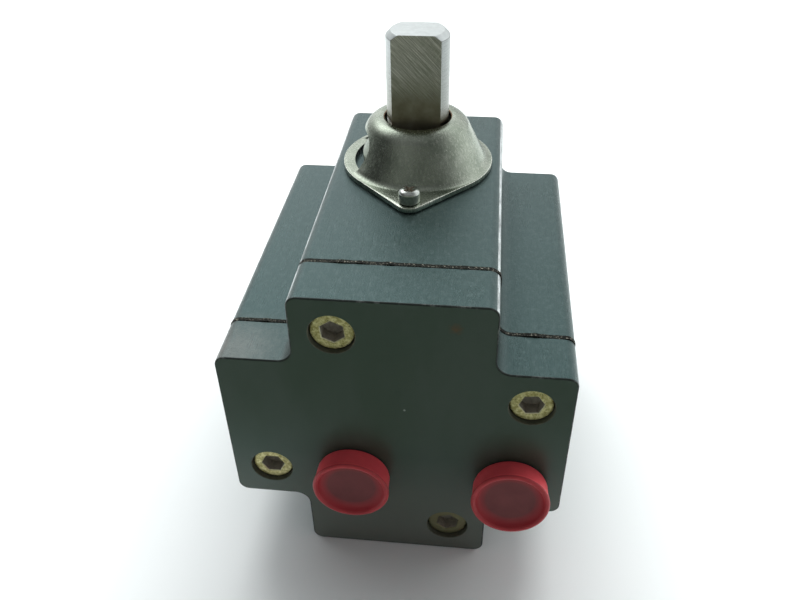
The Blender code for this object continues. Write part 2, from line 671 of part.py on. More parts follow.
def make_cover_screws():
    seat = COVER_Z + COVER_SHEET + GAP
    height = COVER_SCREW_HEAD_HEIGHT
    head = COVER_SCREW_HEAD_RADIUS
    shank = COVER_SCREW_RADIUS
    profile = [
        (0, seat + height),
        (head - 0.0005, seat + height),
        (head, seat + height - 0.0005),
        (head, seat),
        (shank, seat),
        (shank, COVER_SCREW_TIP_Z + 0.0004),
        (0, COVER_SCREW_TIP_Z),
    ]
    for side, y in (("front", -COVER_TIP_Y), ("rear", COVER_TIP_Y)):
        screw = turned(f"{side}_cover_screw", profile, STAINLESS, "Z", (0, y, 0), 20)
        top = seat + height
        for turn in (45, 135):
            low = (-0.0016, -0.0004, top - 0.0013)
            slot = box(f"cut_{side}_recess_{turn}", low, (0.0016, 0.0004, top + CUT_PAST))
            slot.location[1] = y
            slot.rotation_euler = (0, 0, math.radians(turn))
            boolean(screw, slot)


def make_position_collar():
    """A cone-shaped ring clamped on the shaft, seen through the window. Its skirt hides the ring below."""
    low, high = COLLAR_Z
    foot, rim = COLLAR_SKIRT_Z
    inner = SHAFT_TOP_RADIUS + GAP
    profile = [
        (COLLAR_TOP_RADIUS - 0.0005, high),
        (COLLAR_TOP_RADIUS, high - 0.0005),
        (COLLAR_RADIUS, rim),
        (COLLAR_RADIUS, foot),
        (COLLAR_SKIRT_RADIUS, foot),
        (COLLAR_SKIRT_RADIUS, low),
        (inner, low),
        (inner, high),
    ]
    turned("position_collar", profile, STEEL, segments=40, ring=True)


def make_port_caps():
    """A soft cap with a shallow dished front, and a hollow stem that pushes into the port."""
    rim = CAP_RIM_RADIUS
    stem = CAP_STEM_RADIUS
    wall = CAP_WALL
    tip = stem - 0.0006
    back, floor = CAP_FLOOR
    profile = [
        (0, floor),
        (rim - wall - 0.0003, floor),
        (rim - wall, CAP_STANDS_OUT),
        (rim - 0.0004, CAP_STANDS_OUT),
        (rim, CAP_STANDS_OUT - 0.0004),
        (rim - 0.0003, 0.0000),
        (stem, 0.0000),
        (tip, -CAP_STEM_LENGTH),
        (tip - wall, -CAP_STEM_LENGTH),
        (stem - wall, back),
        (0, back),
    ]
    for side, x, tilt in (("left", LEFT_PORT_X, 0), ("right", RIGHT_PORT_X, RIGHT_CAP_TILT)):
        # A tilted cap touches the end cap with its upper edge only, so its middle stands off.
        y = FRONT_Y - GAP - rim * math.sin(tilt)
        cap = turned(f"{side}_port_cap", profile, RED_PLASTIC, "Y", (x, y, PORT_Z), 32)
        # The profile opens towards +Y when turned, so the cap is flipped to open forwards.
        cap.rotation_euler = (tilt, 0, math.pi)


make_body()
make_gallery_plug()
make_gasket()
make_end_cap()
make_end_cap_screws()
make_piston()
make_guide_pad()
make_pinion_shaft()
make_shaft_bearings()
make_retaining_rings()
make_cover()
make_cover_screws()
make_position_collar()
make_port_caps()
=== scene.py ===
"""Looks for a rotary pneumatic actuator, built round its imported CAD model.

Metres, +Z up along the shaft, -Y towards the end cap, +X to the right seen from the front. Every
piece is built in place, so an object's own coordinates are the model's coordinates.
"""

import json
import math

import bmesh
import bpy
from mathutils import Matrix, Vector, noise


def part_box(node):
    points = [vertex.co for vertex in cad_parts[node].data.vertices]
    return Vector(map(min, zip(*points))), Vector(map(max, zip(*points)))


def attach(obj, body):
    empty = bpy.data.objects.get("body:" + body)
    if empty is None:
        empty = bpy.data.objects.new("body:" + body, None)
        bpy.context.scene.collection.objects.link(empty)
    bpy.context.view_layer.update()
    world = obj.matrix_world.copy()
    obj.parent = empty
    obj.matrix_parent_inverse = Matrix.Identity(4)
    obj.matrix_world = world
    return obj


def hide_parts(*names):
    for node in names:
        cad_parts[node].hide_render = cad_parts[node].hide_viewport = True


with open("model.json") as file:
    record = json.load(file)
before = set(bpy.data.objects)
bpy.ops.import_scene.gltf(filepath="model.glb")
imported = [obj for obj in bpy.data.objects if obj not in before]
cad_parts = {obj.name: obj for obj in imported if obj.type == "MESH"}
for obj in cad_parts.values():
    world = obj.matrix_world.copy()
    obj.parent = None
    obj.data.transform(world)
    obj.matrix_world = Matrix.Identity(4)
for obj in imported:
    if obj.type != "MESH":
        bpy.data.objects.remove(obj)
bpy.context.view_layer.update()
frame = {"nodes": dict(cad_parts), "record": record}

MM = 0.001
PAST = 2 * MM  # how far a cutter runs past the face it opens

BODY_LOW, BODY_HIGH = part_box("body")
CAP_LOW, CAP_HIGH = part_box("end_cap")
GASKET_LOW, GASKET_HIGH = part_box("end_cap_gasket")
GASKET_THINNED = 0.12 * MM  # taken off each side, so that the joint shows as thin as it is
GASKET_FRONT_Y = GASKET_LOW.y + GASKET_THINNED
GASKET_REAR_Y = GASKET_HIGH.y - GASKET_THINNED
GASKET_CLEARANCE = 0.02 * MM
COVER_LOW, COVER_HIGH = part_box("shaft_cover")
SHAFT_LOW, SHAFT_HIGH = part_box("pinion_shaft")

SECTION = BODY_HIGH.x - BODY_LOW.x
AXIS_Z = (BODY_HIGH.z + BODY_LOW.z) / 2
ARM = 44.4 * MM
CORNER_RADIUS = 2.5 * MM
NOTCH_RADIUS = 3.5 * MM
BORE_RADIUS = 24 * MM
BORE_END_Y = 22.6 * MM
TOP_HOLE_RADIUS = 12 * MM
BOTTOM_HOLE_RADIUS = 14.5 * MM
MOUNT_CIRCLE = 42 * MM  # the four tapped holes round the drive socket
MOUNT_HOLE_RADIUS = 2.5 * MM
MOUNT_HOLE_DEPTH = 11 * MM
PLUG_RADIUS = 4.0 * MM
PORT_RADIUS = 6 * MM
PORT_CAP_WALL = 1.2 * MM
PORT_CAP_STANDS_OUT = 5.6 * MM
PORT_CAP_DISH = 1.6 * MM
PORT_CAP_STEM = 5.7 * MM
PORT_CAP_TILT = {"left": 0, "right": math.radians(5)}

CAP_SCREWS = ("top", "right", "bottom", "left")
SCREW_RADIUS = 3 * MM
SCREW_HEAD_RADIUS = 5 * MM
SCREW_HEAD = 5.6 * MM
SCREW_PITCH = 1.0 * MM
SCREW_HEX = 5 * MM
SCREW_HEX_DEPTH = 3.0 * MM
SCREW_HEX_TURN = {"top": 35, "right": 6, "bottom": 20, "left": 2}  # how each hexagon has come to rest
SOCKET_BEVEL = 0.2 * MM
DRILL_CONE = 0.3  # height of the cone at a socket's floor, for each unit across its flats
COUNTERBORE_RADIUS = 5.12 * MM
COUNTERBORE_DEPTH = 6.8 * MM
COUNTERBORE_CHAMFER = 0.12 * MM

FLAT_HALF = 4.95 * MM
FLAT_FROM_Z = SHAFT_LOW.z + 85 * MM
SHAFT_TOP_RADIUS = 7.8 * MM
PINION_Z = (28 * MM, 52 * MM)
DRIVE_SQUARE = 11 * MM
DRIVE_DEPTH = 13 * MM

SHEET = 1.2 * MM
COVER_HOLE_RADIUS = 8.45 * MM
COVER_SHOULDER = 4.2 * MM
CONE_RADIUS = 17.7 * MM
CONE_SLOPE = math.radians(64)
CONE_FOOT_FILLET = 2.0 * MM
FLANGE_RADIUS = COVER_HIGH.x
FLANGE_TIP_RADIUS = 3.4 * MM
FLANGE_TIP_Y = COVER_HIGH.y - FLANGE_TIP_RADIUS
WINDOW_HALF = 9.8 * MM
WINDOW_Z = (COVER_LOW.z + 1.25 * MM, COVER_LOW.z + 10.0 * MM)
WINDOW_CORNER = 5.0 * MM
COVER_SCREW_RADIUS = 1.4 * MM
COVER_SCREW_HEAD = 3.3 * MM


# Shapes


def middle(node):
    low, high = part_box(node)
    return (low + high) / 2


def arc(centre, radius, start, end, steps):
    """Points on a circular arc, angles in degrees."""
    angles = [math.radians(start + (end - start) * i / steps) for i in range(steps + 1)]
    return [(centre[0] + radius * math.cos(a), centre[1] + radius * math.sin(a)) for a in angles]


def circle(centre, radius, segments):
    return arc(centre, radius, 0, 360, segments)[:-1]


def turned(profile, segments=64, ring=False):
    """A profile of (radius, height) points turned about Z. Points on the axis close the ends."""
    bm = bmesh.new()
    rings = []
    for radius, height in profile:
        if radius == 0:
            rings.append([bm.verts.new((0, 0, height))])
        else:
            rings.append([bm.verts.new((x, y, height)) for x, y in circle((0, 0), radius, segments)])
    pairs = list(zip(rings, rings[1:]))
    if ring:
        pairs.append((rings[-1], rings[0]))
    for upper, lower in pairs:
        for i in range(segments):
            j = (i + 1) % segments
            left = (upper[i % len(upper)], lower[i % len(lower)])
            right = (lower[j % len(lower)], upper[j % len(upper)])
            # A ring on the axis is a single point, so it is named once.
            bm.faces.new(list(dict.fromkeys(left + right)))
    bmesh.ops.recalc_face_normals(bm, faces=bm.faces)
    return bm


def prism(outline, start, end, axis="Z"):
    """A flat outline made solid between two places along the axis."""
    lift = {
        "X": lambda a, b, along: (along, a, b),
        "Y": lambda a, b, along: (a, along, b),
        "Z": lambda a, b, along: (a, b, along),
    }[axis]
    bm = bmesh.new()
    near = [bm.verts.new(lift(a, b, start)) for a, b in outline]
    far = [bm.verts.new(lift(a, b, end)) for a, b in outline]
    bm.faces.new(near)
    bm.faces.new(far)
    for i in range(len(outline)):
        j = (i + 1) % len(outline)
        bm.faces.new((near[i], near[j], far[j], far[i]))
    bmesh.ops.recalc_face_normals(bm, faces=bm.faces)
    return bm


def rod(centre, radius, start, end, axis="Z", segments=48):
    return prism(circle(centre, radius, segments), start, end, axis)


def block(low, high):
    corners = [(low[0], low[1]), (high[0], low[1]), (high[0], high[1]), (low[0], high[1])]
    return prism(corners, low[2], high[2])


def placed(bm, place, axis="Z"):
    """Turns a shape made along Z to point along the axis, then moves it there."""
    turn = {
        "+X": Matrix.Rotation(math.radians(90), 4, "Y"),
        "-Y": Matrix.Rotation(math.radians(90), 4, "X"),
        "-Z": Matrix.Rotation(math.radians(180), 4, "X"),
        "Z": Matrix.Identity(4),
    }[axis]
    bm.transform(Matrix.Translation(place) @ turn)
    return bm


def mesh_object(name, bm):
    mesh = bpy.data.meshes.new(name)
    bm.to_mesh(mesh)
    bm.free()
    thing = bpy.data.objects.new(name, mesh)
    bpy.context.scene.collection.objects.link(thing)
    return thing


def evaluated(thing):
    bpy.context.view_layer.update()
    graph = bpy.context.evaluated_depsgraph_get()
    bm = bmesh.new()
    bm.from_object(thing, graph)
    return bm


def carved(bm, cutters, operation="DIFFERENCE"):
    """The shape with each cutter taken away, or joined to it."""
    thing = mesh_object("helper", bm)
    others = [mesh_object("helper", cutter) for cutter in cutters]
    for other in others:
        modifier = thing.modifiers.new("cut", "BOOLEAN")
        modifier.operation = operation
        modifier.solver = "EXACT"
        modifier.object = other
    result = evaluated(thing)
    for each in [thing, *others]:
        bpy.data.objects.remove(each)
    return result


def rounded(bm, width, segments=2, angle=40, where=None):
    """Rounds the edges sharper than the angle, all of them or those that where picks."""
    edges = [
        edge
        for edge in bm.edges
        if len(edge.link_faces) == 2
        and edge.calc_face_angle(0) > math.radians(angle)
        and (where is None or where(edge))
    ]
    bmesh.ops.bevel(
        bm,
        geom=edges,
        offset=width,
        segments=segments,
        profile=0.5,
        affect="EDGES",
        clamp_overlap=True,
    )


def centre_of(face):
    return face.calc_center_median()


def mark(bm, slot, picks):
    """Gives another of the piece's materials to the faces that picks chooses."""
    for face in bm.faces:
        if picks(face):
            face.material_index = slot


def thread_cutter(radius, depth, pitch, segments=32):
    """A round cutter with ridges down its side and a chamfered mouth, its mouth at height 0."""
    chamfer = 0.6 * pitch
    profile = [(0, PAST), (radius + chamfer + PAST, PAST), (radius, -chamfer)]
    turns = int((depth - 2 * chamfer) / pitch)
    for i in range(turns):
        top = -chamfer - pitch * i
        profile += [(radius, top - 0.15 * pitch), (radius - 0.45 * pitch, top - 0.5 * pitch)]
        profile.append((radius, top - 0.85 * pitch))
    profile += [(radius - 0.4 * pitch, -depth), (0, -depth - 0.5 * radius)]
    return turned(profile, segments)


def ridges(crest, root, top, pitch, turns, fall=0.5):
    """The outline of a screw's thread from its top down, as (radius, height)."""
    starts = [top - pitch * i for i in range(turns)]
    return [point for z in starts for point in ((crest, z), (root, z - fall * pitch))]


def piece(name, bm, body, materials, nodes, sharp=32):
    """Makes the shape a piece of the model that rides on a body and stands for the CAD nodes."""
    thing = mesh_object(name, bm)
    for material in materials:
        thing.data.materials.append(material)
    thing.data.shade_smooth()
    thing.data.set_sharp_from_angle(angle=math.radians(sharp))
    even = thing.modifiers.new("even_shading", "WEIGHTED_NORMAL")
    even.keep_sharp = True
    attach(thing, body)
    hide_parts(*nodes)


# Materials


class Look:
    """A node material, with short calls for the few kinds of node it takes."""

    def __init__(self, name, **constants):
        self.material = bpy.data.materials.new(name)
        self.material.use_nodes = True
        self.tree = self.material.node_tree
        self.shader = self.tree.nodes["Principled BSDF"]
        for socket, value in constants.items():
            self.shader.inputs[socket.replace("_", " ")].default_value = value

    def add(self, kind, values, **settings):
        node = self.tree.nodes.new(kind)
        for key, value in settings.items():
            setattr(node, key, value)
        for key, value in values.items():
            self.join(value, node.inputs[key])
        return node

    def join(self, value, socket):
        if isinstance(value, bpy.types.NodeSocket):
            self.tree.links.new(value, socket)
        elif socket.type == "RGBA" and len(value) == 3:
            socket.default_value = (*value, 1)
        else:
            socket.default_value = value

    def place(self, stretch=(1, 1, 1), turn=(0, 0, 0)):
        """The model's own coordinates, scaled and then turned by degrees."""
        coords = self.add("ShaderNodeTexCoord", {}).outputs["Object"]
        turned_by = [math.radians(a) for a in turn]
        first = self.add("ShaderNodeMapping", {"Vector": coords, "Rotation": turned_by}).outputs[0]
        return self.add("ShaderNodeMapping", {"Vector": first, "Scale": stretch}).outputs[0]

    def noise(self, scale, detail=3.0, roughness=0.55, place=None):
        where = self.place() if place is None else place
        values = {"Vector": where, "Scale": scale, "Detail": detail, "Roughness": roughness}
        return self.add("ShaderNodeTexNoise", values).outputs[0]

    def remap(self, value, low, high, bottom=0.0, top=1.0):
        values = {"Value": value, "From Min": low, "From Max": high, "To Min": bottom, "To Max": top}
        return self.add("ShaderNodeMapRange", values).outputs[0]

    def math(self, operation, first, second):
        return self.add("ShaderNodeMath", {0: first, 1: second}, operation=operation).outputs[0]

    def plus(self, first, second):
        return self.math("ADD", first, second)

    def times(self, first, second):
        return self.math("MULTIPLY", first, second)

    def mix(self, factor, first, second):
        values = {0: factor, 6: first, 7: second}
        return self.add("ShaderNodeMix", values, data_type="RGBA").outputs[2]

    def distance(self, point):
        values = {0: self.place(), 1: point}
        return self.add("ShaderNodeVectorMath", values, operation="DISTANCE").outputs["Value"]

    def near(self, point, radius):
        """1 at a point of the model, falling to 0 at the radius, with a ragged edge."""
        ragged = self.times(self.noise(1200), radius)
        return self.remap(self.plus(self.distance(point), ragged), radius * 1.3, radius * 0.5)

    def along(self, axis, start, end, bottom=0.0, top=1.0):
        """Goes from one value to the other between two places along X, Y or Z."""
        position = self.add("ShaderNodeSeparateXYZ", {0: self.place()}).outputs[axis]
        return self.remap(position, start, end, bottom, top)

    def bump(self, value, distance, strength=1.0):
        values = {"Height": value, "Distance": distance, "Strength": strength}
        self.join(self.add("ShaderNodeBump", values).outputs[0], self.shader.inputs["Normal"])

    def paint(self, color=None, roughness=None):
        if color is not None:
            self.join(color, self.shader.inputs["Base Color"])
        if roughness is not None:
            self.join(roughness, self.shader.inputs["Roughness"])
        return self.material


def anodised(name):
    """Black anodised aluminium, drawn along Y, mottled, and paler on top of the end cap's left arm."""
    look = Look(name, Metallic=0.0, Specular_IOR_Level=0.64, Specular_Tint=(0.52, 1.0, 1.0, 1))
    blotch = look.noise(70, 4)
    grain = look.noise(1.0, 4, 0.7, look.place((2600, 60, 2600)))
    fine = look.noise(2400, 3, 0.7)
    mottle = look.noise(900, 5, 0.8, look.place((1, 0.6, 1)))
    color = look.mix(look.remap(blotch, 0.35, 0.7), (0.016, 0.027, 0.024), (0.024, 0.037, 0.035))
    color = look.mix(look.remap(mottle, 0.48, 0.66, 0.0, 0.5), color, (0.068, 0.088, 0.086))
    color = look.mix(look.remap(grain, 0.58, 0.78, 0.0, 0.35), color, (0.060, 0.078, 0.078))
    leftwards = look.along("X", -20 * MM, -34 * MM)
    forwards = look.along("Y", -44 * MM, -56 * MM)
    upwards = look.along("Z", 58 * MM, 61.5 * MM)
    pale = look.times(look.times(leftwards, forwards), upwards)
    pale = look.times(pale, look.remap(mottle, 0.3, 0.6, 0.5, 1.0))
    color = look.mix(pale, color, (0.125, 0.112, 0.102))
    rough_grain = look.remap(grain, 0.3, 0.7, 0.22, 0.32)
    rough_blotch = look.remap(blotch, 0.3, 0.7, 0.0, 0.08)
    look.bump(look.plus(look.times(grain, 0.45), fine), 0.085 * MM)
    return look.paint(color, look.plus(rough_grain, rough_blotch))


def anodised_front(name, spots):
    """The end cap's front: dull, with a few small stains; its colour is painted lighter towards the
    bottom to lift the shade there.
    """
    look = Look(name, Metallic=0.0, Specular_IOR_Level=0.55, Specular_Tint=(0.62, 1.0, 0.92, 1))
    blotch = look.noise(90, 3, place=look.place((1, 1, 0.35)))
    # Painted light: lighter towards the bottom, lifting the shade low on the front.
    painted_shading_low_down = look.along("Z", 34 * MM, 4 * MM)
    upper = look.mix(look.remap(blotch, 0.35, 0.7), (0.038, 0.050, 0.036), (0.048, 0.058, 0.046))
    color = look.mix(painted_shading_low_down, upper, (0.115, 0.115, 0.098))
    for point, radius, stain in spots:
        color = look.mix(look.near(point, radius), color, stain)
    look.bump(look.noise(2600, 2), 0.008 * MM)
    return look.paint(color, look.remap(blotch, 0.3, 0.7, 0.30, 0.38))


def worn_edge(name):
    """The anodising rubbed thin along an edge."""
    look = Look(name, Metallic=0.4, Specular_IOR_Level=0.6)
    wear_and_highlight_breaks = look.remap(look.noise(420, 5, 0.75), 0.52, 0.70)
    color = look.mix(wear_and_highlight_breaks, (0.022, 0.030, 0.027), (0.15, 0.17, 0.16))
    return look.paint(color, look.remap(wear_and_highlight_breaks, 0, 1, 0.40, 0.30))


def painted_edge_highlight(name):
    """A painted highlight: the thin bright line that shows along the two upper edges."""
    look = Look(name, Metallic=0.2, Specular_IOR_Level=0.6)
    wear_and_highlight_breaks = look.remap(look.noise(500, 4, 0.7, look.place((1, 0.25, 1))), 0.36, 0.56)
    color = look.mix(wear_and_highlight_breaks, (0.10, 0.12, 0.12), (0.55, 0.60, 0.60))
    return look.paint(color, 0.35)


def ground_steel(name):
    """Ground steel with fine rings and rust freckles, darker on the right with painted shade, and dark
    brown with painted shade at the cover.
    """
    look = Look(name, Metallic=1.0)
    rings = look.noise(1.0, 3, 0.6, look.place((60, 60, 5200)))
    freckle = look.noise(420, 5, 0.65)
    upper = look.along("Z", SHAFT_HIGH.z - 24 * MM, SHAFT_HIGH.z - 4 * MM)
    dark = look.mix(upper, (0.22, 0.22, 0.18), (0.36, 0.38, 0.37))
    light = look.mix(upper, (0.34, 0.34, 0.29), (0.52, 0.55, 0.55))
    color = look.mix(look.remap(rings, 0.3, 0.7), dark, light)
    # Painted shade: the shaft's right side darker.
    color = look.mix(look.along("X", 3 * MM, 6 * MM, 0.0, 0.55), color, (0.20, 0.215, 0.21))
    color = look.mix(look.remap(freckle, 0.66, 0.78, 0.0, 0.7), color, (0.20, 0.13, 0.08))
    # Painted shade: dark brown just above the cover's hole, where the shaft goes in.
    shade_at_hole = look.along("Z", COVER_HIGH.z + 4.5 * MM, COVER_HIGH.z + 0.5 * MM, 0.0, 0.8)
    color = look.mix(shade_at_hole, color, (0.11, 0.09, 0.065))
    look.bump(rings, 0.012 * MM)
    return look.paint(color, look.remap(rings, 0.3, 0.7, 0.24, 0.36))


def faced_end_sheen(name):
    """The shaft's end, turned flat, its colour painted bright as a sheen."""
    look = Look(name, Metallic=0.85)
    cloud = look.noise(600, 4, 0.65)
    color = look.mix(look.remap(cloud, 0.35, 0.7), (0.54, 0.58, 0.57), (0.66, 0.70, 0.69))
    look.bump(cloud, 0.010 * MM)
    return look.paint(color, look.remap(cloud, 0.3, 0.7, 0.34, 0.46))


def scratched_flat(name):
    """The shaft's flats: fine slanting file marks above, dull and brownish towards the cover."""
    look = Look(name, Metallic=0.75)
    down_right = look.noise(1.0, 5, 0.8, look.place((5200, 1, 110), (0, 44, 0)))
    down_left = look.noise(1.0, 3, 0.7, look.place((5200, 1, 160), (0, -38, 0)))
    upper = look.along("Z", SHAFT_HIGH.z - 17 * MM, SHAFT_HIGH.z - 9 * MM)
    scratch = look.times(look.remap(down_right, 0.47, 0.62), upper)
    crossing = look.times(look.remap(down_left, 0.54, 0.70), look.times(upper, 0.4))
    scratch = look.math("MAXIMUM", scratch, crossing)
    blotch = look.noise(210, 4)
    dull = look.mix(look.remap(blotch, 0.4, 0.65), (0.24, 0.22, 0.15), (0.36, 0.33, 0.24))
    plain = look.mix(upper, dull, (0.37, 0.37, 0.30))
    color = look.mix(scratch, plain, (0.85, 0.85, 0.76))
    look.bump(scratch, 0.05 * MM, 0.8)
    return look.paint(color, look.remap(scratch, 0, 1, 0.46, 0.30))


def satin_stainless(name):
    """Pressed stainless sheet, drawn upwards over its former, with painted light on the front ear."""
    look = Look(name, Metallic=1.0)
    drawn = look.noise(1.0, 4, 0.65, look.place((1500, 1500, 160)))
    cloud = look.noise(170, 4)
    fine = look.noise(2600, 3, 0.7)
    color = look.mix(look.remap(cloud, 0.35, 0.68), (0.26, 0.30, 0.24), (0.38, 0.42, 0.35))
    color = look.mix(look.remap(drawn, 0.54, 0.72, 0.0, 0.7), color, (0.56, 0.60, 0.51))
    color = look.mix(look.remap(fine, 0.56, 0.70, 0.0, 0.5), color, (0.72, 0.75, 0.66))
    # Painted light on the front ear.
    light_on_front_ear = look.along("Y", -18 * MM, -22 * MM, 0.0, 0.7)
    color = look.mix(light_on_front_ear, color, (0.72, 0.77, 0.67))
    rough_drawn = look.remap(drawn, 0.3, 0.7, 0.19, 0.28)
    rough_cloud = look.remap(cloud, 0.3, 0.7, 0, 0.06)
    look.bump(look.plus(drawn, fine), 0.030 * MM)
    return look.paint(color, look.plus(rough_drawn, rough_cloud))


def rust_stain(name):
    """A thin brown stain round the cover's hole, where water creeps down the shaft."""
    look = Look(name, Metallic=0.3)
    cloud = look.remap(look.noise(700, 4, 0.7), 0.40, 0.62)
    return look.paint(look.mix(cloud, (0.17, 0.15, 0.11), (0.34, 0.19, 0.10)), 0.6)


def flange_edge_highlight(name):
    """The sheet's edge round the flange, painted brighter than its faces as a highlight line."""
    look = Look(name, Metallic=0.35)
    wear_and_highlight_breaks = look.remap(look.noise(900, 4, 0.7), 0.40, 0.62)
    return look.paint(look.mix(wear_and_highlight_breaks, (0.55, 0.58, 0.50), (0.95, 0.96, 0.88)), 0.34)


def yellow_zinc(name):
    """Yellow passivated zinc, gone olive in patches, and darker low down on the block with painted
    shade.
    """
    look = Look(name, Metallic=0.6)
    patch = look.noise(900, 5, 0.7)
    speck = look.noise(1500, 3)
    # Painted shade: darker low down on the block.
    painted_shading_low_down = look.along("Z", 13 * MM, 20 * MM)
    color = look.mix(look.remap(patch, 0.40, 0.60), (0.36, 0.32, 0.11), (0.78, 0.73, 0.38))
    color = look.mix(look.remap(speck, 0.60, 0.72), color, (0.12, 0.10, 0.05))
    color = look.mix(painted_shading_low_down, (0.20, 0.19, 0.10), color)
    look.bump(patch, 0.04 * MM)
    return look.paint(color, look.remap(patch, 0.3, 0.7, 0.44, 0.30))


def plain_metal(name, color, metallic, roughness):
    """A small surface with a slight cloudiness: the painted shade in a socket's inside, or the painted
    highlight on the lip round it.
    """
    look = Look(name, Metallic=metallic)
    cloud = look.noise(1400, 3)
    darker = [0.7 * part for part in color]
    return look.paint(look.mix(look.remap(cloud, 0.35, 0.65), darker, color), roughness)


def shaded_dish_red(name, centre):
    """The dished front of a port cap: darker in its middle over the port with painted shade, redder up
    to its rim.
    """
    look = Look(name, Specular_IOR_Level=0.2)
    cloud = look.noise(180, 3)
    # Painted shade in the dish's middle, fading out towards the rim.
    shaded_middle = look.mix(look.remap(cloud, 0.35, 0.65), (0.15, 0.042, 0.044), (0.18, 0.050, 0.052))
    full = (0.44, 0.034, 0.044)
    outwards = look.remap(look.distance(centre), 5.6 * MM, 8.4 * MM)
    return look.paint(look.mix(outwards, shaded_middle, full), 0.5)


def moulded_red(name, dark, light):
    """Soft red plastic with a fine moulded surface."""
    look = Look(name, Specular_IOR_Level=0.32)
    cloud = look.noise(180, 3)
    fine = look.noise(4200, 2)
    look.bump(fine, 0.012 * MM)
    color = look.mix(look.remap(cloud, 0.35, 0.65), dark, light)
    return look.paint(color, look.remap(cloud, 0.3, 0.7, 0.34, 0.44))


def rubber(name):
    look = Look(name, Specular_IOR_Level=0.15)
    speck = look.noise(1800, 3)
    color = look.mix(look.remap(speck, 0.45, 0.7), (0.006, 0.007, 0.006), (0.018, 0.020, 0.016))
    fleck = look.noise(2600, 4, 0.7)
    color = look.mix(look.remap(fleck, 0.57, 0.66, 0.0, 0.9), color, (0.42, 0.41, 0.33))
    look.bump(speck, 0.03 * MM)
    return look.paint(color, look.remap(speck, 0.3, 0.7, 0.62, 0.80))


def machined_aluminium(name):
    """Bare turned aluminium."""
    look = Look(name, Metallic=1.0)
    cut = look.noise(1.0, 3, 0.6, look.place((70, 3000, 70)))
    color = look.mix(look.remap(cut, 0.3, 0.7), (0.54, 0.55, 0.57), (0.70, 0.71, 0.73))
    look.bump(cut, 0.015 * MM)
    return look.paint(color, look.remap(cut, 0.3, 0.7, 0.30, 0.42))


def bearing_plastic(name):
    look = Look(name, Specular_IOR_Level=0.4)
    cloud = look.noise(400, 3)
    color = look.mix(look.remap(cloud, 0.35, 0.65), (0.60, 0.56, 0.46), (0.70, 0.67, 0.57))
    look.bump(cloud, 0.01 * MM)
    return look.paint(color, look.remap(cloud, 0.3, 0.7, 0.42, 0.55))


RUST = (0.085, 0.042, 0.018)
CAP_FACE_Y = CAP_LOW.y
ANODISED = anodised("black_anodised")
ANODISED_FRONT = anodised_front(
    "black_anodised_front",
    (
        ((13.4 * MM, CAP_FACE_Y, 74.2 * MM), 2.2 * MM, RUST),
        ((2.4 * MM, CAP_FACE_Y, 49.7 * MM), 0.5 * MM, (0.30, 0.33, 0.30)),
    ),
)
WORN = worn_edge("worn_anodised_edge")
# A painted highlight along the two upper edges.
EDGE_HIGHLIGHT = painted_edge_highlight("edge_highlight_line")
# Painted light on the counterbore walls: lifted out of their shade and tinted as by the yellow heads'
# reflections.
COUNTERBORE_PAINTED_LIGHT = plain_metal("counterbore_painted_light", (0.10, 0.105, 0.075), 0.0, 0.5)
STEEL = ground_steel("ground_steel")
FLAT = scratched_flat("scratched_flat")
FACED_SHEEN = faced_end_sheen("faced_end_sheen")
STAINLESS = satin_stainless("satin_stainless")
# A painted highlight along the flange's edge.
FLANGE_EDGE_HIGHLIGHT = flange_edge_highlight("flange_edge_highlight")
STAIN = rust_stain("rust_stain")
ZINC = yellow_zinc("yellow_zinc")
# Painted shade in the screws' sockets and in the cover screws' cross recesses.
SOCKET_SHADE = plain_metal("painted_socket_shade", (0.34, 0.31, 0.25), 0.0, 0.6)
COLLAR_STEEL = plain_metal("collar_steel", (0.42, 0.47, 0.39), 0.9, 0.38)
SCREW_SIDE_SHADE = plain_metal("screw_side_shade", (0.44, 0.48, 0.42), 0.9, 0.35)
SCREW_STEEL = plain_metal("screw_steel", (0.64, 0.68, 0.64), 1.0, 0.20)
# A painted highlight on the lip round a socket's mouth.
SOCKET_LIP_HIGHLIGHT = plain_metal("socket_lip_highlight", (0.86, 0.83, 0.55), 0.6, 0.35)
# The caps' walls: red painted far lighter than the lip's RIM_RED, lifting the shade on the walls.
RED_PAINTED_LIGHT = moulded_red("moulded_red", (0.84, 0.090, 0.110), (0.94, 0.105, 0.125))
RIM_RED = moulded_red("rim_red", (0.38, 0.036, 0.044), (0.46, 0.044, 0.052))
RUBBER = rubber("black_rubber")
ALUMINIUM = machined_aluminium("bare_aluminium")
BEARING = bearing_plastic("bearing_plastic")


# The block, its gasket and the end cap


def cross_outline(steps=8):
    """The cross-shaped section of the block, about the bore's axis."""
    half = SECTION / 2
    arm = ARM / 2
    quarter = arc((half - CORNER_RADIUS, arm - CORNER_RADIUS), CORNER_RADIUS, 0, 90, steps)
    inner = arm + NOTCH_RADIUS + 0.04 * MM
    quarter += arc((inner, inner), NOTCH_RADIUS, 270, 180, steps)
    quarter += arc((arm - CORNER_RADIUS, half - CORNER_RADIUS), CORNER_RADIUS, 0, 90, steps)
    outline = []
    for turn in range(4):
        a = math.radians(90 * turn)
        c = math.cos(a)
        s = math.sin(a)
        outline += [(x * c - y * s, x * s + y * c + AXIS_Z) for x, y in quarter]
    return outline


def slab(front_y, rear_y, front_round, rear_round):
    """A length of the cross section with its two rims rounded."""
    bm = prism(cross_outline(), front_y, rear_y, "Y")
    for y, width in ((front_y, front_round), (rear_y, rear_round)):
        rounded(bm, width, 3, 60, lambda edge: all(abs(v.co.y - y) < 1e-6 for v in edge.verts))
    return bm


def on_rim(face):
    return 0.1 < abs(face.normal.y) < 0.97 and face.calc_area() < 60 * MM * MM


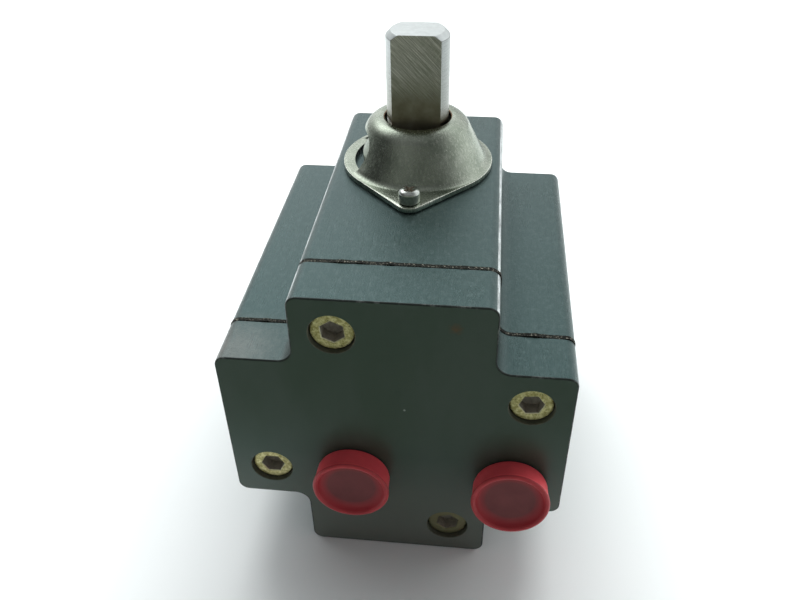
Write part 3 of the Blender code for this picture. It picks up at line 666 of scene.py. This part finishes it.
def on_upper_edge(face):
    """One narrow strip along each of the upper arm's two long edges, which takes the painted edge
    highlight.
    """
    normal = face.normal
    long_edge = abs(normal.y) < 0.1 and centre_of(face).z > AXIS_Z + ARM / 2 + NOTCH_RADIUS
    return long_edge and math.cos(math.radians(68)) < normal.z < math.cos(math.radians(44))


def screw_places():
    """The middles of the four end cap screws."""
    return [middle(f"end_cap_screw_{name}") for name in CAP_SCREWS]


def screw_cutters(radius, start, end):
    return [rod((place.x, place.z), radius, start, end, "Y", 32) for place in screw_places()]


def make_block():
    front = GASKET_REAR_Y + GASKET_CLEARANCE
    bm = slab(front, BODY_HIGH.y, 0.15 * MM, 0.7 * MM)
    mark(bm, 1, on_rim)
    # Slot 2 is the painted edge highlight.
    mark(bm, 2, on_upper_edge)
    plug = middle("gallery_plug")
    plug_thread = thread_cutter(PLUG_RADIUS, 5.4 * MM, 0.9 * MM)
    hole = BOTTOM_HOLE_RADIUS
    groove = hole + 1.1 * MM
    groove_top = 2.8 * MM
    groove_foot = 1.2 * MM
    bottom_hole = [
        (0, AXIS_Z),
        (hole, AXIS_Z),
        (hole, groove_top),
        (groove, groove_top),
        (groove, groove_foot),
        (hole, groove_foot),
        (hole, 0.5 * MM),
        (hole + 0.5 * MM + PAST, -PAST),
        (0, -PAST),
    ]
    cutters = [
        rod((0, AXIS_Z), BORE_RADIUS, front - PAST, BORE_END_Y, "Y", 96),
        rod((0, 0), TOP_HOLE_RADIUS, AXIS_Z, BODY_HIGH.z + PAST, "Z", 64),
        turned(bottom_hole, 64),
        placed(plug_thread, (BODY_HIGH.x, plug.y, plug.z), "+X"),
    ]
    cutters += screw_cutters(SCREW_RADIUS + 0.2 * MM, front - PAST, front + 20 * MM)
    for side in ("front", "rear"):
        place = middle(f"{side}_cover_screw")
        radius = COVER_SCREW_RADIUS + 0.3 * MM
        ends = (BODY_HIGH.z - 9.5 * MM, BODY_HIGH.z + PAST)
        cutters.append(rod((place.x, place.y), radius, *ends, "Z", 24))
    step = MOUNT_CIRCLE / 2 / math.sqrt(2)
    for x, y in ((step, step), (-step, step), (-step, -step), (step, -step)):
        thread = thread_cutter(MOUNT_HOLE_RADIUS, MOUNT_HOLE_DEPTH, 0.8 * MM)
        cutters.append(placed(thread, (x, y, 0), "-Z"))
    looks = [ANODISED, WORN, EDGE_HIGHLIGHT]
    piece("block", carved(bm, cutters), "housing", looks, ["body"])


def make_end_cap():
    front = CAP_LOW.y
    bm = slab(front, GASKET_FRONT_Y - GASKET_CLEARANCE, 0.35 * MM, 0.15 * MM)

    def on_front(face):
        return face.normal.y < -0.99 and abs(centre_of(face).y - front) < 0.01 * MM

    mark(bm, 1, on_rim)
    # Slot 2 is the painted edge highlight.
    mark(bm, 2, on_upper_edge)
    mark(bm, 3, on_front)
    cutters = screw_cutters(SCREW_RADIUS + 0.3 * MM, front - PAST, CAP_HIGH.y + PAST)
    counterbore = [
        (0, PAST),
        (COUNTERBORE_RADIUS + COUNTERBORE_CHAMFER + PAST, PAST),
        (COUNTERBORE_RADIUS, -COUNTERBORE_CHAMFER),
        (COUNTERBORE_RADIUS, -COUNTERBORE_DEPTH),
        (0, -COUNTERBORE_DEPTH),
    ]
    places = screw_places()
    for place in places:
        cutters.append(placed(turned(counterbore, 64), (place.x, front, place.z), "-Y"))
    for side in ("left", "right"):
        place = middle(f"{side}_port_cap")
        bore = rod((place.x, place.z), PORT_RADIUS - MM, front, CAP_HIGH.y + PAST, "Y", 48)
        thread = thread_cutter(PORT_RADIUS, 10.5 * MM, 1.3 * MM, 48)
        cutters += [bore, placed(thread, (place.x, front, place.z), "-Y")]
    bm = carved(bm, cutters)

    def in_counterbore(face):
        at = centre_of(face)
        away = min(math.hypot(at.x - place.x, at.z - place.z) for place in places)
        return away < COUNTERBORE_RADIUS + COUNTERBORE_CHAMFER and abs(face.normal.y) < 0.9

    # Slot 4: the counterbore walls' painted light.
    mark(bm, 4, in_counterbore)
    looks = [ANODISED, WORN, EDGE_HIGHLIGHT, ANODISED_FRONT, COUNTERBORE_PAINTED_LIGHT]
    piece("cap_plate", bm, "housing", looks, ["end_cap"])


def make_gasket():
    """A cork and rubber sheet whose edge has crept out unevenly between the two castings."""
    outline = cross_outline(4)
    dense = []
    for (x0, z0), (x1, z1) in zip(outline, outline[1:] + outline[:1]):
        steps = max(1, round(math.hypot(x1 - x0, z1 - z0) / MM))
        dense += [(x0 + (x1 - x0) * i / steps, z0 + (z1 - z0) * i / steps) for i in range(steps)]
    crept = []
    for x, z in dense:
        coarse = noise.noise(Vector((x * 310, z * 310, 1.7)))
        fine = noise.noise(Vector((x * 900, z * 900, 4.2)))
        out = max(0.0, 0.10 + 0.42 * (coarse + 0.5 * fine)) * MM
        lean = Vector((x, z - AXIS_Z)).normalized()
        # The creep stays inside the block's own width, and shows on top and in the notches.
        new_x = max(-SECTION / 2, min(SECTION / 2, x + lean.x * out))
        new_z = max(0.0, z + (out if z > AXIS_Z else 0))
        crept.append((new_x, new_z))
    bm = prism(crept, GASKET_FRONT_Y, GASKET_REAR_Y, "Y")
    ends = (GASKET_FRONT_Y - PAST, GASKET_REAR_Y + PAST)
    cutters = screw_cutters(SCREW_RADIUS + 0.4 * MM, *ends)
    cutters.append(rod((0, AXIS_Z), BORE_RADIUS + 0.5 * MM, *ends, "Y", 64))
    piece("gasket_sheet", carved(bm, cutters), "housing", [RUBBER], ["end_cap_gasket"])


def hex_cutter(across, depth, turn=0):
    """A hexagonal socket with a bevelled lip and the cone that its drill left, mouth at height 0."""
    corner = across / math.sqrt(3)
    lip = SOCKET_BEVEL
    profile = [(0, PAST), (corner + lip + PAST, PAST), (corner, -lip), (corner, -depth), (0, -depth)]
    hexagon = turned(profile, 6)
    hexagon.transform(Matrix.Rotation(math.radians(turn), 4, "Z"))
    floor = -depth + 0.1 * MM
    drill = turned([(0, floor), (across / 2, floor), (0, -depth - across * DRILL_CONE)], 48)
    return [hexagon, drill]


def mark_socket(bm, across, depth, inside, lip):
    """Gives the socket's inside its painted shade and the lip round its mouth its painted highlight,
    each as a material of its own.
    """
    reach = across / math.sqrt(3)
    for face in bm.faces:
        at = centre_of(face)
        away = math.hypot(at.x, at.y)
        if away < reach and -depth - across * DRILL_CONE < at.z < -0.15 * MM:
            face.material_index = inside
        elif away < reach + SOCKET_BEVEL and 0.3 < face.normal.z < 0.95 and at.z > -SOCKET_BEVEL:
            face.material_index = lip


def make_cap_screws():
    """Socket head screws, their heads sunk in the end cap."""
    for name in CAP_SCREWS:
        low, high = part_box(f"end_cap_screw_{name}")
        place = Vector(((low.x + high.x) / 2, low.y, (low.z + high.z) / 2))
        length = high.y - low.y
        profile = [
            (0, 0),
            (SCREW_HEAD_RADIUS - 0.8 * MM, 0),
            (SCREW_HEAD_RADIUS - 0.35 * MM, -0.12 * MM),
            (SCREW_HEAD_RADIUS - 0.05 * MM, -0.5 * MM),
            (SCREW_HEAD_RADIUS, -0.9 * MM),
            (SCREW_HEAD_RADIUS, -SCREW_HEAD + 0.2 * MM),
            (SCREW_HEAD_RADIUS - 0.2 * MM, -SCREW_HEAD),
            (SCREW_RADIUS + 0.2 * MM, -SCREW_HEAD),
            (SCREW_RADIUS, -SCREW_HEAD - 0.3 * MM),
        ]
        start = -SCREW_HEAD - 6 * MM
        turns = int((length - SCREW_HEAD - 7 * MM) / SCREW_PITCH)
        profile += ridges(SCREW_RADIUS, SCREW_RADIUS - 0.5 * SCREW_PITCH, start, SCREW_PITCH, turns)
        profile.append((SCREW_RADIUS, start - SCREW_PITCH * turns))
        profile += [(SCREW_RADIUS - 0.6 * MM, -length), (0, -length)]
        socket = hex_cutter(SCREW_HEX, SCREW_HEX_DEPTH, SCREW_HEX_TURN[name])
        bm = carved(turned(profile, 48), socket)
        mark_socket(bm, SCREW_HEX, SCREW_HEX_DEPTH, 1, 2)
        placed(bm, place, "-Y")
        # The lowest screw is dark all over with painted shade, and the lip of its socket gets no
        # painted highlight.
        looks = [ZINC, SOCKET_SHADE, ZINC if name == "bottom" else SOCKET_LIP_HIGHLIGHT]
        piece(f"cap_screw_{name}", bm, "housing", looks, [f"end_cap_screw_{name}"])


def make_gallery_plug():
    low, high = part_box("gallery_plug")
    radius = (high.z - low.z) / 2
    depth = high.x - low.x
    pitch = 0.9 * MM
    profile = [(0, 0), (radius - 0.5 * MM, 0), (radius - 0.05 * MM, -0.4 * MM)]
    profile += ridges(radius, radius - 0.45 * pitch, -0.4 * MM - 0.2 * pitch, pitch, 4, 0.4)
    profile += [(radius - 0.3 * MM, -depth), (0, -depth)]
    bm = carved(turned(profile, 40), hex_cutter(4 * MM, 2.5 * MM))
    placed(bm, (high.x, (low.y + high.y) / 2, (low.z + high.z) / 2), "+X")
    piece("gallery_plug_screw", bm, "housing", [STEEL], ["gallery_plug"])


# The shaft and its cover


def flange_reach(angle):
    """Distance from the shaft's axis to the flange's edge, in a direction measured from +X."""
    away = abs(math.sin(angle))
    across = abs(math.cos(angle))
    lean = math.asin((FLANGE_RADIUS - FLANGE_TIP_RADIUS) / FLANGE_TIP_Y)
    turn = math.atan2(away, across)
    if turn <= lean:
        return FLANGE_RADIUS
    on_line = FLANGE_RADIUS / (math.cos(lean) * across + math.sin(lean) * away)
    if on_line * away <= FLANGE_TIP_Y + FLANGE_TIP_RADIUS * math.sin(lean):
        return on_line
    beside = FLANGE_TIP_Y * across
    return FLANGE_TIP_Y * away + math.sqrt(max(0.0, FLANGE_TIP_RADIUS**2 - beside**2))


def cover_profile():
    """The cover's outer skin from its hole to the foot of its cone, as (radius, height)."""
    top = COVER_HIGH.z
    base = COVER_LOW.z + SHEET
    drop = top - COVER_SHOULDER
    slope = CONE_SLOPE
    centre = CONE_RADIUS - (COVER_SHOULDER + (drop - base) * math.cos(slope)) / math.sin(slope)
    points = [
        (COVER_HOLE_RADIUS, top - 0.5 * MM),
        (COVER_HOLE_RADIUS + 0.05 * MM, top - 0.2 * MM),
        (COVER_HOLE_RADIUS + 0.25 * MM, top - 0.05 * MM),
    ]
    steps = 12
    for i in range(steps + 1):
        a = slope * i / steps
        points.append((centre + COVER_SHOULDER * math.sin(a), drop + COVER_SHOULDER * math.cos(a)))
    fillet = CONE_FOOT_FILLET
    tangent = fillet * math.tan(slope / 2)
    hub = (CONE_RADIUS + tangent, base + fillet)
    for i in range(7):
        a = slope * (1 - i / 6)
        points.append((hub[0] - fillet * math.sin(a), hub[1] - fillet * math.cos(a)))
    return points


def window_outline():
    """The window seen from the side, as (y, z): a flat sill below and two round corners above."""
    sill, top = WINDOW_Z
    inner = WINDOW_HALF - WINDOW_CORNER
    right = arc((inner, top - WINDOW_CORNER), WINDOW_CORNER, 0, 90, 12)
    left = arc((-inner, top - WINDOW_CORNER), WINDOW_CORNER, 90, 180, 12)
    return [(-WINDOW_HALF, sill), (WINDOW_HALF, sill), *right, *left]


def make_cover():
    """One pressed sheet: a cone with a round shoulder, flaring into a two-eared flange.

    An arch cut through the left side of the cone is a window on the collar inside.
    """
    segments = 256
    profile = cover_profile()
    foot = profile[-1]
    bm = bmesh.new()
    rings = []
    for i in range(segments):
        # Directions crowd together near the two ears, where the edge curves most.
        even = 2 * math.pi * i / segments
        angle = even + 0.30 * math.sin(2 * even)
        reach = flange_reach(angle)
        points = profile + [(foot[0] + (reach - foot[0]) * j / 4, foot[1]) for j in range(1, 5)]
        rings.append([bm.verts.new((r * math.cos(angle), r * math.sin(angle), z)) for r, z in points])
    for first, second in zip(rings, rings[1:] + rings[:1]):
        for j in range(len(first) - 1):
            bm.faces.new((first[j], first[j + 1], second[j + 1], second[j]))
    bmesh.ops.recalc_face_normals(bm, faces=bm.faces)
    skin = mesh_object("helper", bm)
    thick = skin.modifiers.new("sheet", "SOLIDIFY")
    thick.thickness = SHEET
    thick.offset = -1
    solid = evaluated(skin)
    bpy.data.objects.remove(skin)
    rounded(solid, 0.25 * MM, 2, 60)
    cutters = [prism(window_outline(), -FLANGE_RADIUS - PAST, -COVER_HOLE_RADIUS, "X")]
    ends = (COVER_LOW.z - PAST, COVER_HIGH.z)
    for y in (-FLANGE_TIP_Y, FLANGE_TIP_Y):
        cutters.append(rod((0, y), COVER_SCREW_RADIUS + 0.4 * MM, *ends, "Z", 32))
    bm = carved(solid, cutters)
    flange_top = COVER_LOW.z + SHEET + 0.02 * MM

    def on_flange_edge(face):
        at = centre_of(face)
        outside = math.hypot(at.x, at.y) > flange_reach(math.atan2(at.y, at.x)) - 0.3 * MM
        return outside and at.z < flange_top and 0.1 < face.normal.z < 0.97

    def in_hole(face):
        at = centre_of(face)
        return math.hypot(at.x, at.y) < COVER_HOLE_RADIUS + 0.22 * MM and at.z > COVER_HIGH.z - 3 * MM

    # Slot 1: the painted highlight along the flange's edge.
    mark(bm, 1, on_flange_edge)
    mark(bm, 2, in_hole)
    looks = [STAINLESS, FLANGE_EDGE_HIGHLIGHT, STAIN]
    piece("cover_shell", bm, "housing", looks, ["shaft_cover"])


def make_cover_screws():
    """Pan head screws with a cross recess, their heads' sides darker with painted shade."""
    looks = [SCREW_STEEL, SCREW_SIDE_SHADE, SOCKET_SHADE]

    def on_side(face):
        return centre_of(face).z < -1.0 * MM and abs(face.normal.z) < 0.3

    def in_recess(face):
        at = centre_of(face)
        return math.hypot(at.x, at.y) < 1.85 * MM and -1.6 * MM < at.z < -0.15 * MM

    for side in ("front", "rear"):
        low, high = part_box(f"{side}_cover_screw")
        head = (high.x - low.x) / 2
        profile = [
            (0, 0),
            (head * 0.55, -0.04 * MM),
            (head * 0.82, -0.22 * MM),
            (head * 0.95, -0.55 * MM),
            (head, -1.0 * MM),
            (head, -COVER_SCREW_HEAD + 0.2 * MM),
            (head - 0.2 * MM, -COVER_SCREW_HEAD),
            (COVER_SCREW_RADIUS, -COVER_SCREW_HEAD),
        ]
        length = high.z - low.z
        root = COVER_SCREW_RADIUS - 0.3 * MM
        pitch = 0.7 * MM
        profile += ridges(COVER_SCREW_RADIUS, root, -COVER_SCREW_HEAD - 2 * pitch, pitch, 12)
        profile += [(COVER_SCREW_RADIUS - 0.4 * MM, -length), (0, -length)]
        bm = turned(profile, 40)
        cutters = []
        for turn in (45, 135):
            arm = block((-1.9 * MM, -0.5 * MM, -1.5 * MM), (1.9 * MM, 0.5 * MM, PAST))
            for vert in arm.verts:
                # The recess narrows towards its floor, as its punch does.
                if vert.co.z < 0:
                    vert.co.x *= 0.65
                    vert.co.y *= 0.7
            arm.transform(Matrix.Rotation(math.radians(turn), 4, "Z"))
            cutters.append(arm)
        centre = (low + high) / 2
        bm = carved(bm, cutters)
        # Slot 1: the head's side, painted darker as shade.
        mark(bm, 1, on_side)
        # Slot 2: painted shade in the cross recess.
        mark(bm, 2, in_recess)
        placed(bm, (centre.x, centre.y, high.z))
        piece(f"cover_screw_{side}", bm, "housing", looks, [f"{side}_cover_screw"])


def pinion_outline(teeth=16, module=1.25 * MM, slack=0.4 * MM):
    """Involute teeth about the shaft's axis, one of them pointing along +X."""
    pitch_radius = module * teeth / 2
    pressure = math.radians(20)
    base = pitch_radius * math.cos(pressure)
    tip = pitch_radius + module
    root = pitch_radius - 1.25 * module
    half = math.pi / (2 * teeth) - slack / (2 * pitch_radius) + math.tan(pressure) - pressure
    flank = []
    for i in range(6):
        radius = base + (tip - base) * i / 5
        roll = math.acos(min(1, base / radius))
        flank.append((radius, half - (math.tan(roll) - roll)))
    outline = []
    for tooth in range(teeth):
        centre = 2 * math.pi * tooth / teeth
        side = [(root, flank[0][1])] + flank
        points = [(r, -a) for r, a in side] + [(r, a) for r, a in reversed(side)]
        outline += [(r * math.cos(centre + a), r * math.sin(centre + a)) for r, a in points]
    return outline


def make_shaft():
    """A turned shaft: drive socket below, pinion in the middle, two flats and a chamfer on top."""
    top = SHAFT_HIGH.z
    foot = SHAFT_LOW.z
    seat = 9.0 * MM  # under the upper bearing and the seal
    groove = 8.2 * MM  # for the upper retaining ring
    shoulder = 11.0 * MM
    neck = 8.3 * MM
    journal = 11.4 * MM  # in the lower bearing
    profile = [
        (0, top),
        (SHAFT_TOP_RADIUS - 1.35 * MM, top),
        (SHAFT_TOP_RADIUS - 1.20 * MM, top - 0.08 * MM),
        (SHAFT_TOP_RADIUS - 0.06 * MM, top - 1.22 * MM),
        (SHAFT_TOP_RADIUS, top - 1.4 * MM),
        (SHAFT_TOP_RADIUS, 84.5 * MM),
        (seat, 84.0 * MM),
        (seat, 83.1 * MM),
        (groove, 83.1 * MM),
        (groove, 81.7 * MM),
        (seat, 81.7 * MM),
        (seat, 61.7 * MM),
        (shoulder, 61.5 * MM),
        (shoulder, 59.7 * MM),
        (neck, 59.0 * MM),
        (neck, 17.4 * MM),
        (journal, 16.8 * MM),
        (journal, foot + 0.5 * MM),
        (journal - 0.5 * MM, foot),
        (0, foot),
    ]
    bm = turned(profile, 96)
    bm = carved(bm, [prism(pinion_outline(), *PINION_Z)], "UNION")
    wide = 12 * MM
    cutters = []
    for side in (-1, 1):
        near = side * FLAT_HALF
        far = side * wide
        low = (-wide, min(near, far), FLAT_FROM_Z)
        cutters.append(block(low, (wide, max(near, far), top + PAST)))
    half = DRIVE_SQUARE / 2
    cutters.append(block((-half, -half, foot - PAST), (half, half, foot + DRIVE_DEPTH)))
    bm = carved(bm, cutters)

    def beside_flats(edge):
        return min(v.co.z for v in edge.verts) > FLAT_FROM_Z + MM

    def on_flat(face):
        return abs(face.normal.y) > 0.99 and centre_of(face).z > FLAT_FROM_Z

    def on_end(face):
        return face.normal.z > 0.5 and centre_of(face).z > top - 2 * MM

    rounded(bm, 0.16 * MM, 2, 22, beside_flats)
    mark(bm, 1, on_flat)
    # Slot 2: the end's painted sheen.
    mark(bm, 2, on_end)
    looks = [STEEL, FLAT, FACED_SHEEN]
    piece("output_shaft", bm, "shaft", looks, ["pinion_shaft"], sharp=28)


def make_collar():
    """The conical ring on the shaft that shows through the cover's window, with a skirt below."""
    low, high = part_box("position_collar")
    radius = high.x
    top_radius = 10.8 * MM
    rim = low.z + 2.4 * MM
    skirt = 11.8 * MM
    hub = low.z + 2.8 * MM
    bore = SHAFT_TOP_RADIUS + 0.2 * MM
    profile = [
        (top_radius - 0.7 * MM, high.z),
        (top_radius - 0.3 * MM, high.z - 0.12 * MM),
        (top_radius, high.z - 0.5 * MM),
        (radius - 0.15 * MM, rim + 0.1 * MM),
        (radius, rim - 0.4 * MM),
        (radius, low.z + 0.2 * MM),
        (radius - 0.2 * MM, low.z),
        (skirt, low.z),
        (skirt, hub),
        (bore, hub),
        (bore, high.z),
    ]
    ring = turned(profile, 128, ring=True)
    piece("shaft_collar", ring, "shaft", [COLLAR_STEEL], ["position_collar"])


def port_cap_profile(rim):
    """A port cap's section, as (radius, height above its back): a shallow dish and a hollow stem."""
    stem = PORT_CAP_STEM
    front = PORT_CAP_STANDS_OUT
    inner = rim - PORT_CAP_WALL
    bore = stem - PORT_CAP_WALL
    floor = front - PORT_CAP_DISH
    return [
        (0, floor),
        (inner - 1.6 * MM, floor),
        (inner - 0.8 * MM, floor + 0.12 * MM),
        (inner - 0.3 * MM, floor + 0.45 * MM),
        (inner, front - 0.5 * MM),
        (inner + 0.2 * MM, front - 0.12 * MM),
        (rim - 0.6 * MM, front),
        (rim - 0.2 * MM, front - 0.15 * MM),
        (rim, front - 0.55 * MM),
        (rim - 0.05 * MM, front - 1.0 * MM),
        (rim - 0.25 * MM, front - 1.3 * MM),
        (rim - 0.35 * MM, 0.6 * MM),
        (rim - 0.5 * MM, 0.15 * MM),
        (rim - 0.9 * MM, 0.0),
        (stem + 0.1 * MM, 0.0),
        (stem, -0.2 * MM),
        (stem - 0.2 * MM, -2.4 * MM),
        (stem - 0.05 * MM, -2.7 * MM),
        (stem - 0.25 * MM, -5.0 * MM),
        (stem - 0.10 * MM, -5.3 * MM),
        (stem - 0.40 * MM, -8.0 * MM),
        (stem - 0.60 * MM, -8.4 * MM),
        (bore - 0.60 * MM, -8.4 * MM),
        (bore - 0.10 * MM, 2.0 * MM),
        (bore - 0.50 * MM, floor - 1.6 * MM),
        (0, floor - 1.6 * MM),
    ]


def make_port_caps():
    """Soft caps with a dished front, each pushed into its port; the right one sits askew."""
    left_low, left_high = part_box("left_port_cap")
    rim = (left_high.x - left_low.x) / 2
    front = PORT_CAP_STANDS_OUT
    floor = front - PORT_CAP_DISH
    seat = left_low.y + front
    height = (left_low.z + left_high.z) / 2

    def in_dish(face):
        return floor - 0.1 * MM < centre_of(face).z < front - 0.3 * MM and face.normal.z > 0

    def on_lip(face):
        return centre_of(face).z > front - 0.6 * MM and face.normal.z > 0.2

    for side, tilt in PORT_CAP_TILT.items():
        # A tilted cap touches the end cap with its upper edge only, so its middle stands off.
        place = Vector((middle(f"{side}_port_cap").x, seat - rim * math.sin(tilt), height))
        bm = turned(port_cap_profile(rim), 96)
        mark(bm, 1, in_dish)
        mark(bm, 2, on_lip)
        placed(bm, (0, 0, 0), "-Y")
        lean = Matrix.Rotation(-tilt, 4, "X")
        bm.transform(Matrix.Translation(place) @ lean)
        middle_of_floor = place + lean @ Vector((0, -floor, 0))
        # The walls' red carries painted light, the dish painted shade.
        looks = [RED_PAINTED_LIGHT, shaded_dish_red(f"shaded_dish_red_{side}", middle_of_floor), RIM_RED]
        name = f"{side}_port_cap"
        piece(f"port_cup_{side}", bm, name, looks, [name], sharp=50)


def paint_cad_nodes():
    """The pieces inside keep their CAD shapes and take full materials."""
    materials = {
        "black_rubber": RUBBER,
        "ground_steel": STEEL,
        "bare_aluminium": ALUMINIUM,
        "bearing_plastic": BEARING,
    }
    for entry in frame["record"]["subparts"]:
        material = materials.get(entry["material_slot"])
        node = frame["nodes"][entry["node"]]
        if material is None or node.hide_render:
            continue
        node.data.materials.clear()
        node.data.materials.append(material)


# The studio


def make_floor():
    bm = bmesh.new()
    bmesh.ops.create_grid(bm, x_segments=8, y_segments=8, size=3)
    floor = mesh_object("floor", bm)
    floor.location = (0, 0, BODY_LOW.z)
    look = Look("pale_floor", Specular_IOR_Level=0.1, Roughness=0.9)
    cloud = look.noise(6, 2)
    look.paint(look.mix(cloud, (0.85, 0.89, 0.885), (0.89, 0.93, 0.925)))
    floor.data.materials.append(look.material)


def make_flag():
    """A dark card low in front, which only reflections see, as a studio flag is used on metal."""
    bm = bmesh.new()
    near = -0.095
    far = -0.75
    side = 0.9
    height = 0.3
    corners = [(-side, near, 0.001), (side, near, 0.001), (side, far, 0.001), (-side, far, 0.001)]
    top = [(side, far, height), (-side, far, height)]
    verts = [bm.verts.new(c) for c in corners + top]
    bm.faces.new(verts[:4])
    bm.faces.new((verts[3], verts[2], verts[4], verts[5]))
    flag = mesh_object("flag", bm)
    look = Look("flag_card", Base_Color=(0, 0, 0, 1), Roughness=1.0, Specular_IOR_Level=0.0)
    look.shader.inputs["Emission Color"].default_value = (0.19, 0.22, 0.16, 1)
    look.shader.inputs["Emission Strength"].default_value = 1.0
    flag.data.materials.append(look.material)
    flag.visible_camera = False
    flag.visible_diffuse = False
    flag.visible_shadow = False


def make_world():
    """A white studio as metal sees it: bright behind and right, dark in front and left, dim above."""
    world = bpy.data.worlds.new("studio")
    world.use_nodes = True
    nodes = world.node_tree.nodes
    links = world.node_tree.links
    coords = nodes.new("ShaderNodeTexCoord")
    split = nodes.new("ShaderNodeSeparateXYZ")
    links.new(coords.outputs["Generated"], split.inputs[0])

    def ramp(direction, start, end, low, high):
        node = nodes.new("ShaderNodeMapRange")
        node.interpolation_type = "SMOOTHSTEP"
        links.new(split.outputs[direction], node.inputs["Value"])
        values = {"From Min": start, "From Max": end, "To Min": low, "To Max": high}
        for name, value in values.items():
            node.inputs[name].default_value = value
        return node.outputs[0]

    def combine(operation, first, *others):
        for other in others:
            node = nodes.new("ShaderNodeMath")
            node.operation = operation
            links.new(first, node.inputs[0])
            links.new(other, node.inputs[1])
            first = node.outputs[0]
        return first

    walls = combine(
        "MULTIPLY",
        ramp("Y", -0.3, 0.75, 0.20, 1.0),
        ramp("X", -0.95, -0.4, 0.35, 1.25),
        ramp("X", -0.3, 0.1, 1.0, 0.7),
        ramp("X", 0.2, 0.8, 1.0, 1.25),
        ramp("Z", 0.70, 0.95, 1.0, 0.35),
    )
    high_behind = combine(
        "MULTIPLY",
        ramp("Y", 0.0, 0.5, 0.0, 1.0),
        ramp("Z", 0.48, 0.60, 0.0, 1.25),
        ramp("Z", 0.72, 0.90, 1.0, 0.0),
        ramp("X", -0.75, -0.45, 0.3, 1.0),
        ramp("X", -0.40, -0.10, 1.6, 1.0),
        ramp("X", -0.12, 0.10, 1.0, 0.40),
    )
    overhead = combine("MULTIPLY", ramp("Z", 0.72, 0.95, 0.0, 0.20), ramp("Y", -0.1, 0.3, 1.0, 0.0))
    right_wall = combine("MULTIPLY", ramp("X", 0.6, 0.95, 0.0, 0.45), ramp("Y", -0.7, -0.05, 0.0, 1.0))
    strength = combine("ADD", walls, high_behind, overhead, right_wall)
    background = nodes["Background"]
    background.inputs["Color"].default_value = (0.97, 0.985, 1.0, 1)
    links.new(strength, background.inputs["Strength"])
    bpy.context.scene.world = world


def make_light(name, place, aim, size, power, color=(1, 1, 1)):
    data = bpy.data.lights.new(name, "AREA")
    data.shape = "RECTANGLE"
    data.size = size[0]
    data.size_y = size[1]
    data.energy = power
    data.color = color
    light = bpy.data.objects.new(name, data)
    light.location = place
    light.visible_glossy = False
    light.rotation_euler = (Vector(aim) - Vector(place)).to_track_quat("-Z", "Y").to_euler()
    bpy.context.scene.collection.objects.link(light)


def make_lights():
    make_light("overhead_softbox", (0.0, 0.45, 0.75), (0, 0, 0.0), (0.8, 0.5), 8.0)
    make_light("right_strip", (0.60, 0.25, 0.40), (0, 0, 0.08), (0.30, 0.6), 0.8, (1.0, 0.99, 0.97))
    make_light("left_strip", (-0.60, 0.25, 0.35), (0, 0, 0.08), (0.25, 0.5), 0.8, (0.96, 0.98, 1.0))


def make_camera():
    data = bpy.data.cameras.new("camera")
    data.lens = 35.47
    data.sensor_width = 36
    data.clip_start = 0.01
    data.clip_end = 20
    camera = bpy.data.objects.new("camera", data)
    bpy.context.scene.collection.objects.link(camera)
    place = Matrix.Translation((16.9 * MM, -186.0 * MM, 177.3 * MM))
    heading = Matrix.Rotation(math.radians(6.846), 4, "Z")
    tilt = Matrix.Rotation(math.radians(52.573), 4, "X")
    roll = Matrix.Rotation(math.radians(-1.072), 4, "Z")
    camera.matrix_world = place @ heading @ tilt @ roll
    bpy.context.scene.camera = camera


make_block()
make_end_cap()
make_gasket()
make_cap_screws()
make_gallery_plug()
make_cover()
make_cover_screws()
make_shaft()
make_collar()
make_port_caps()
paint_cad_nodes()
make_floor()
make_flag()
make_world()
make_lights()
make_camera()
bpy.context.scene.view_settings.view_transform = "Standard"
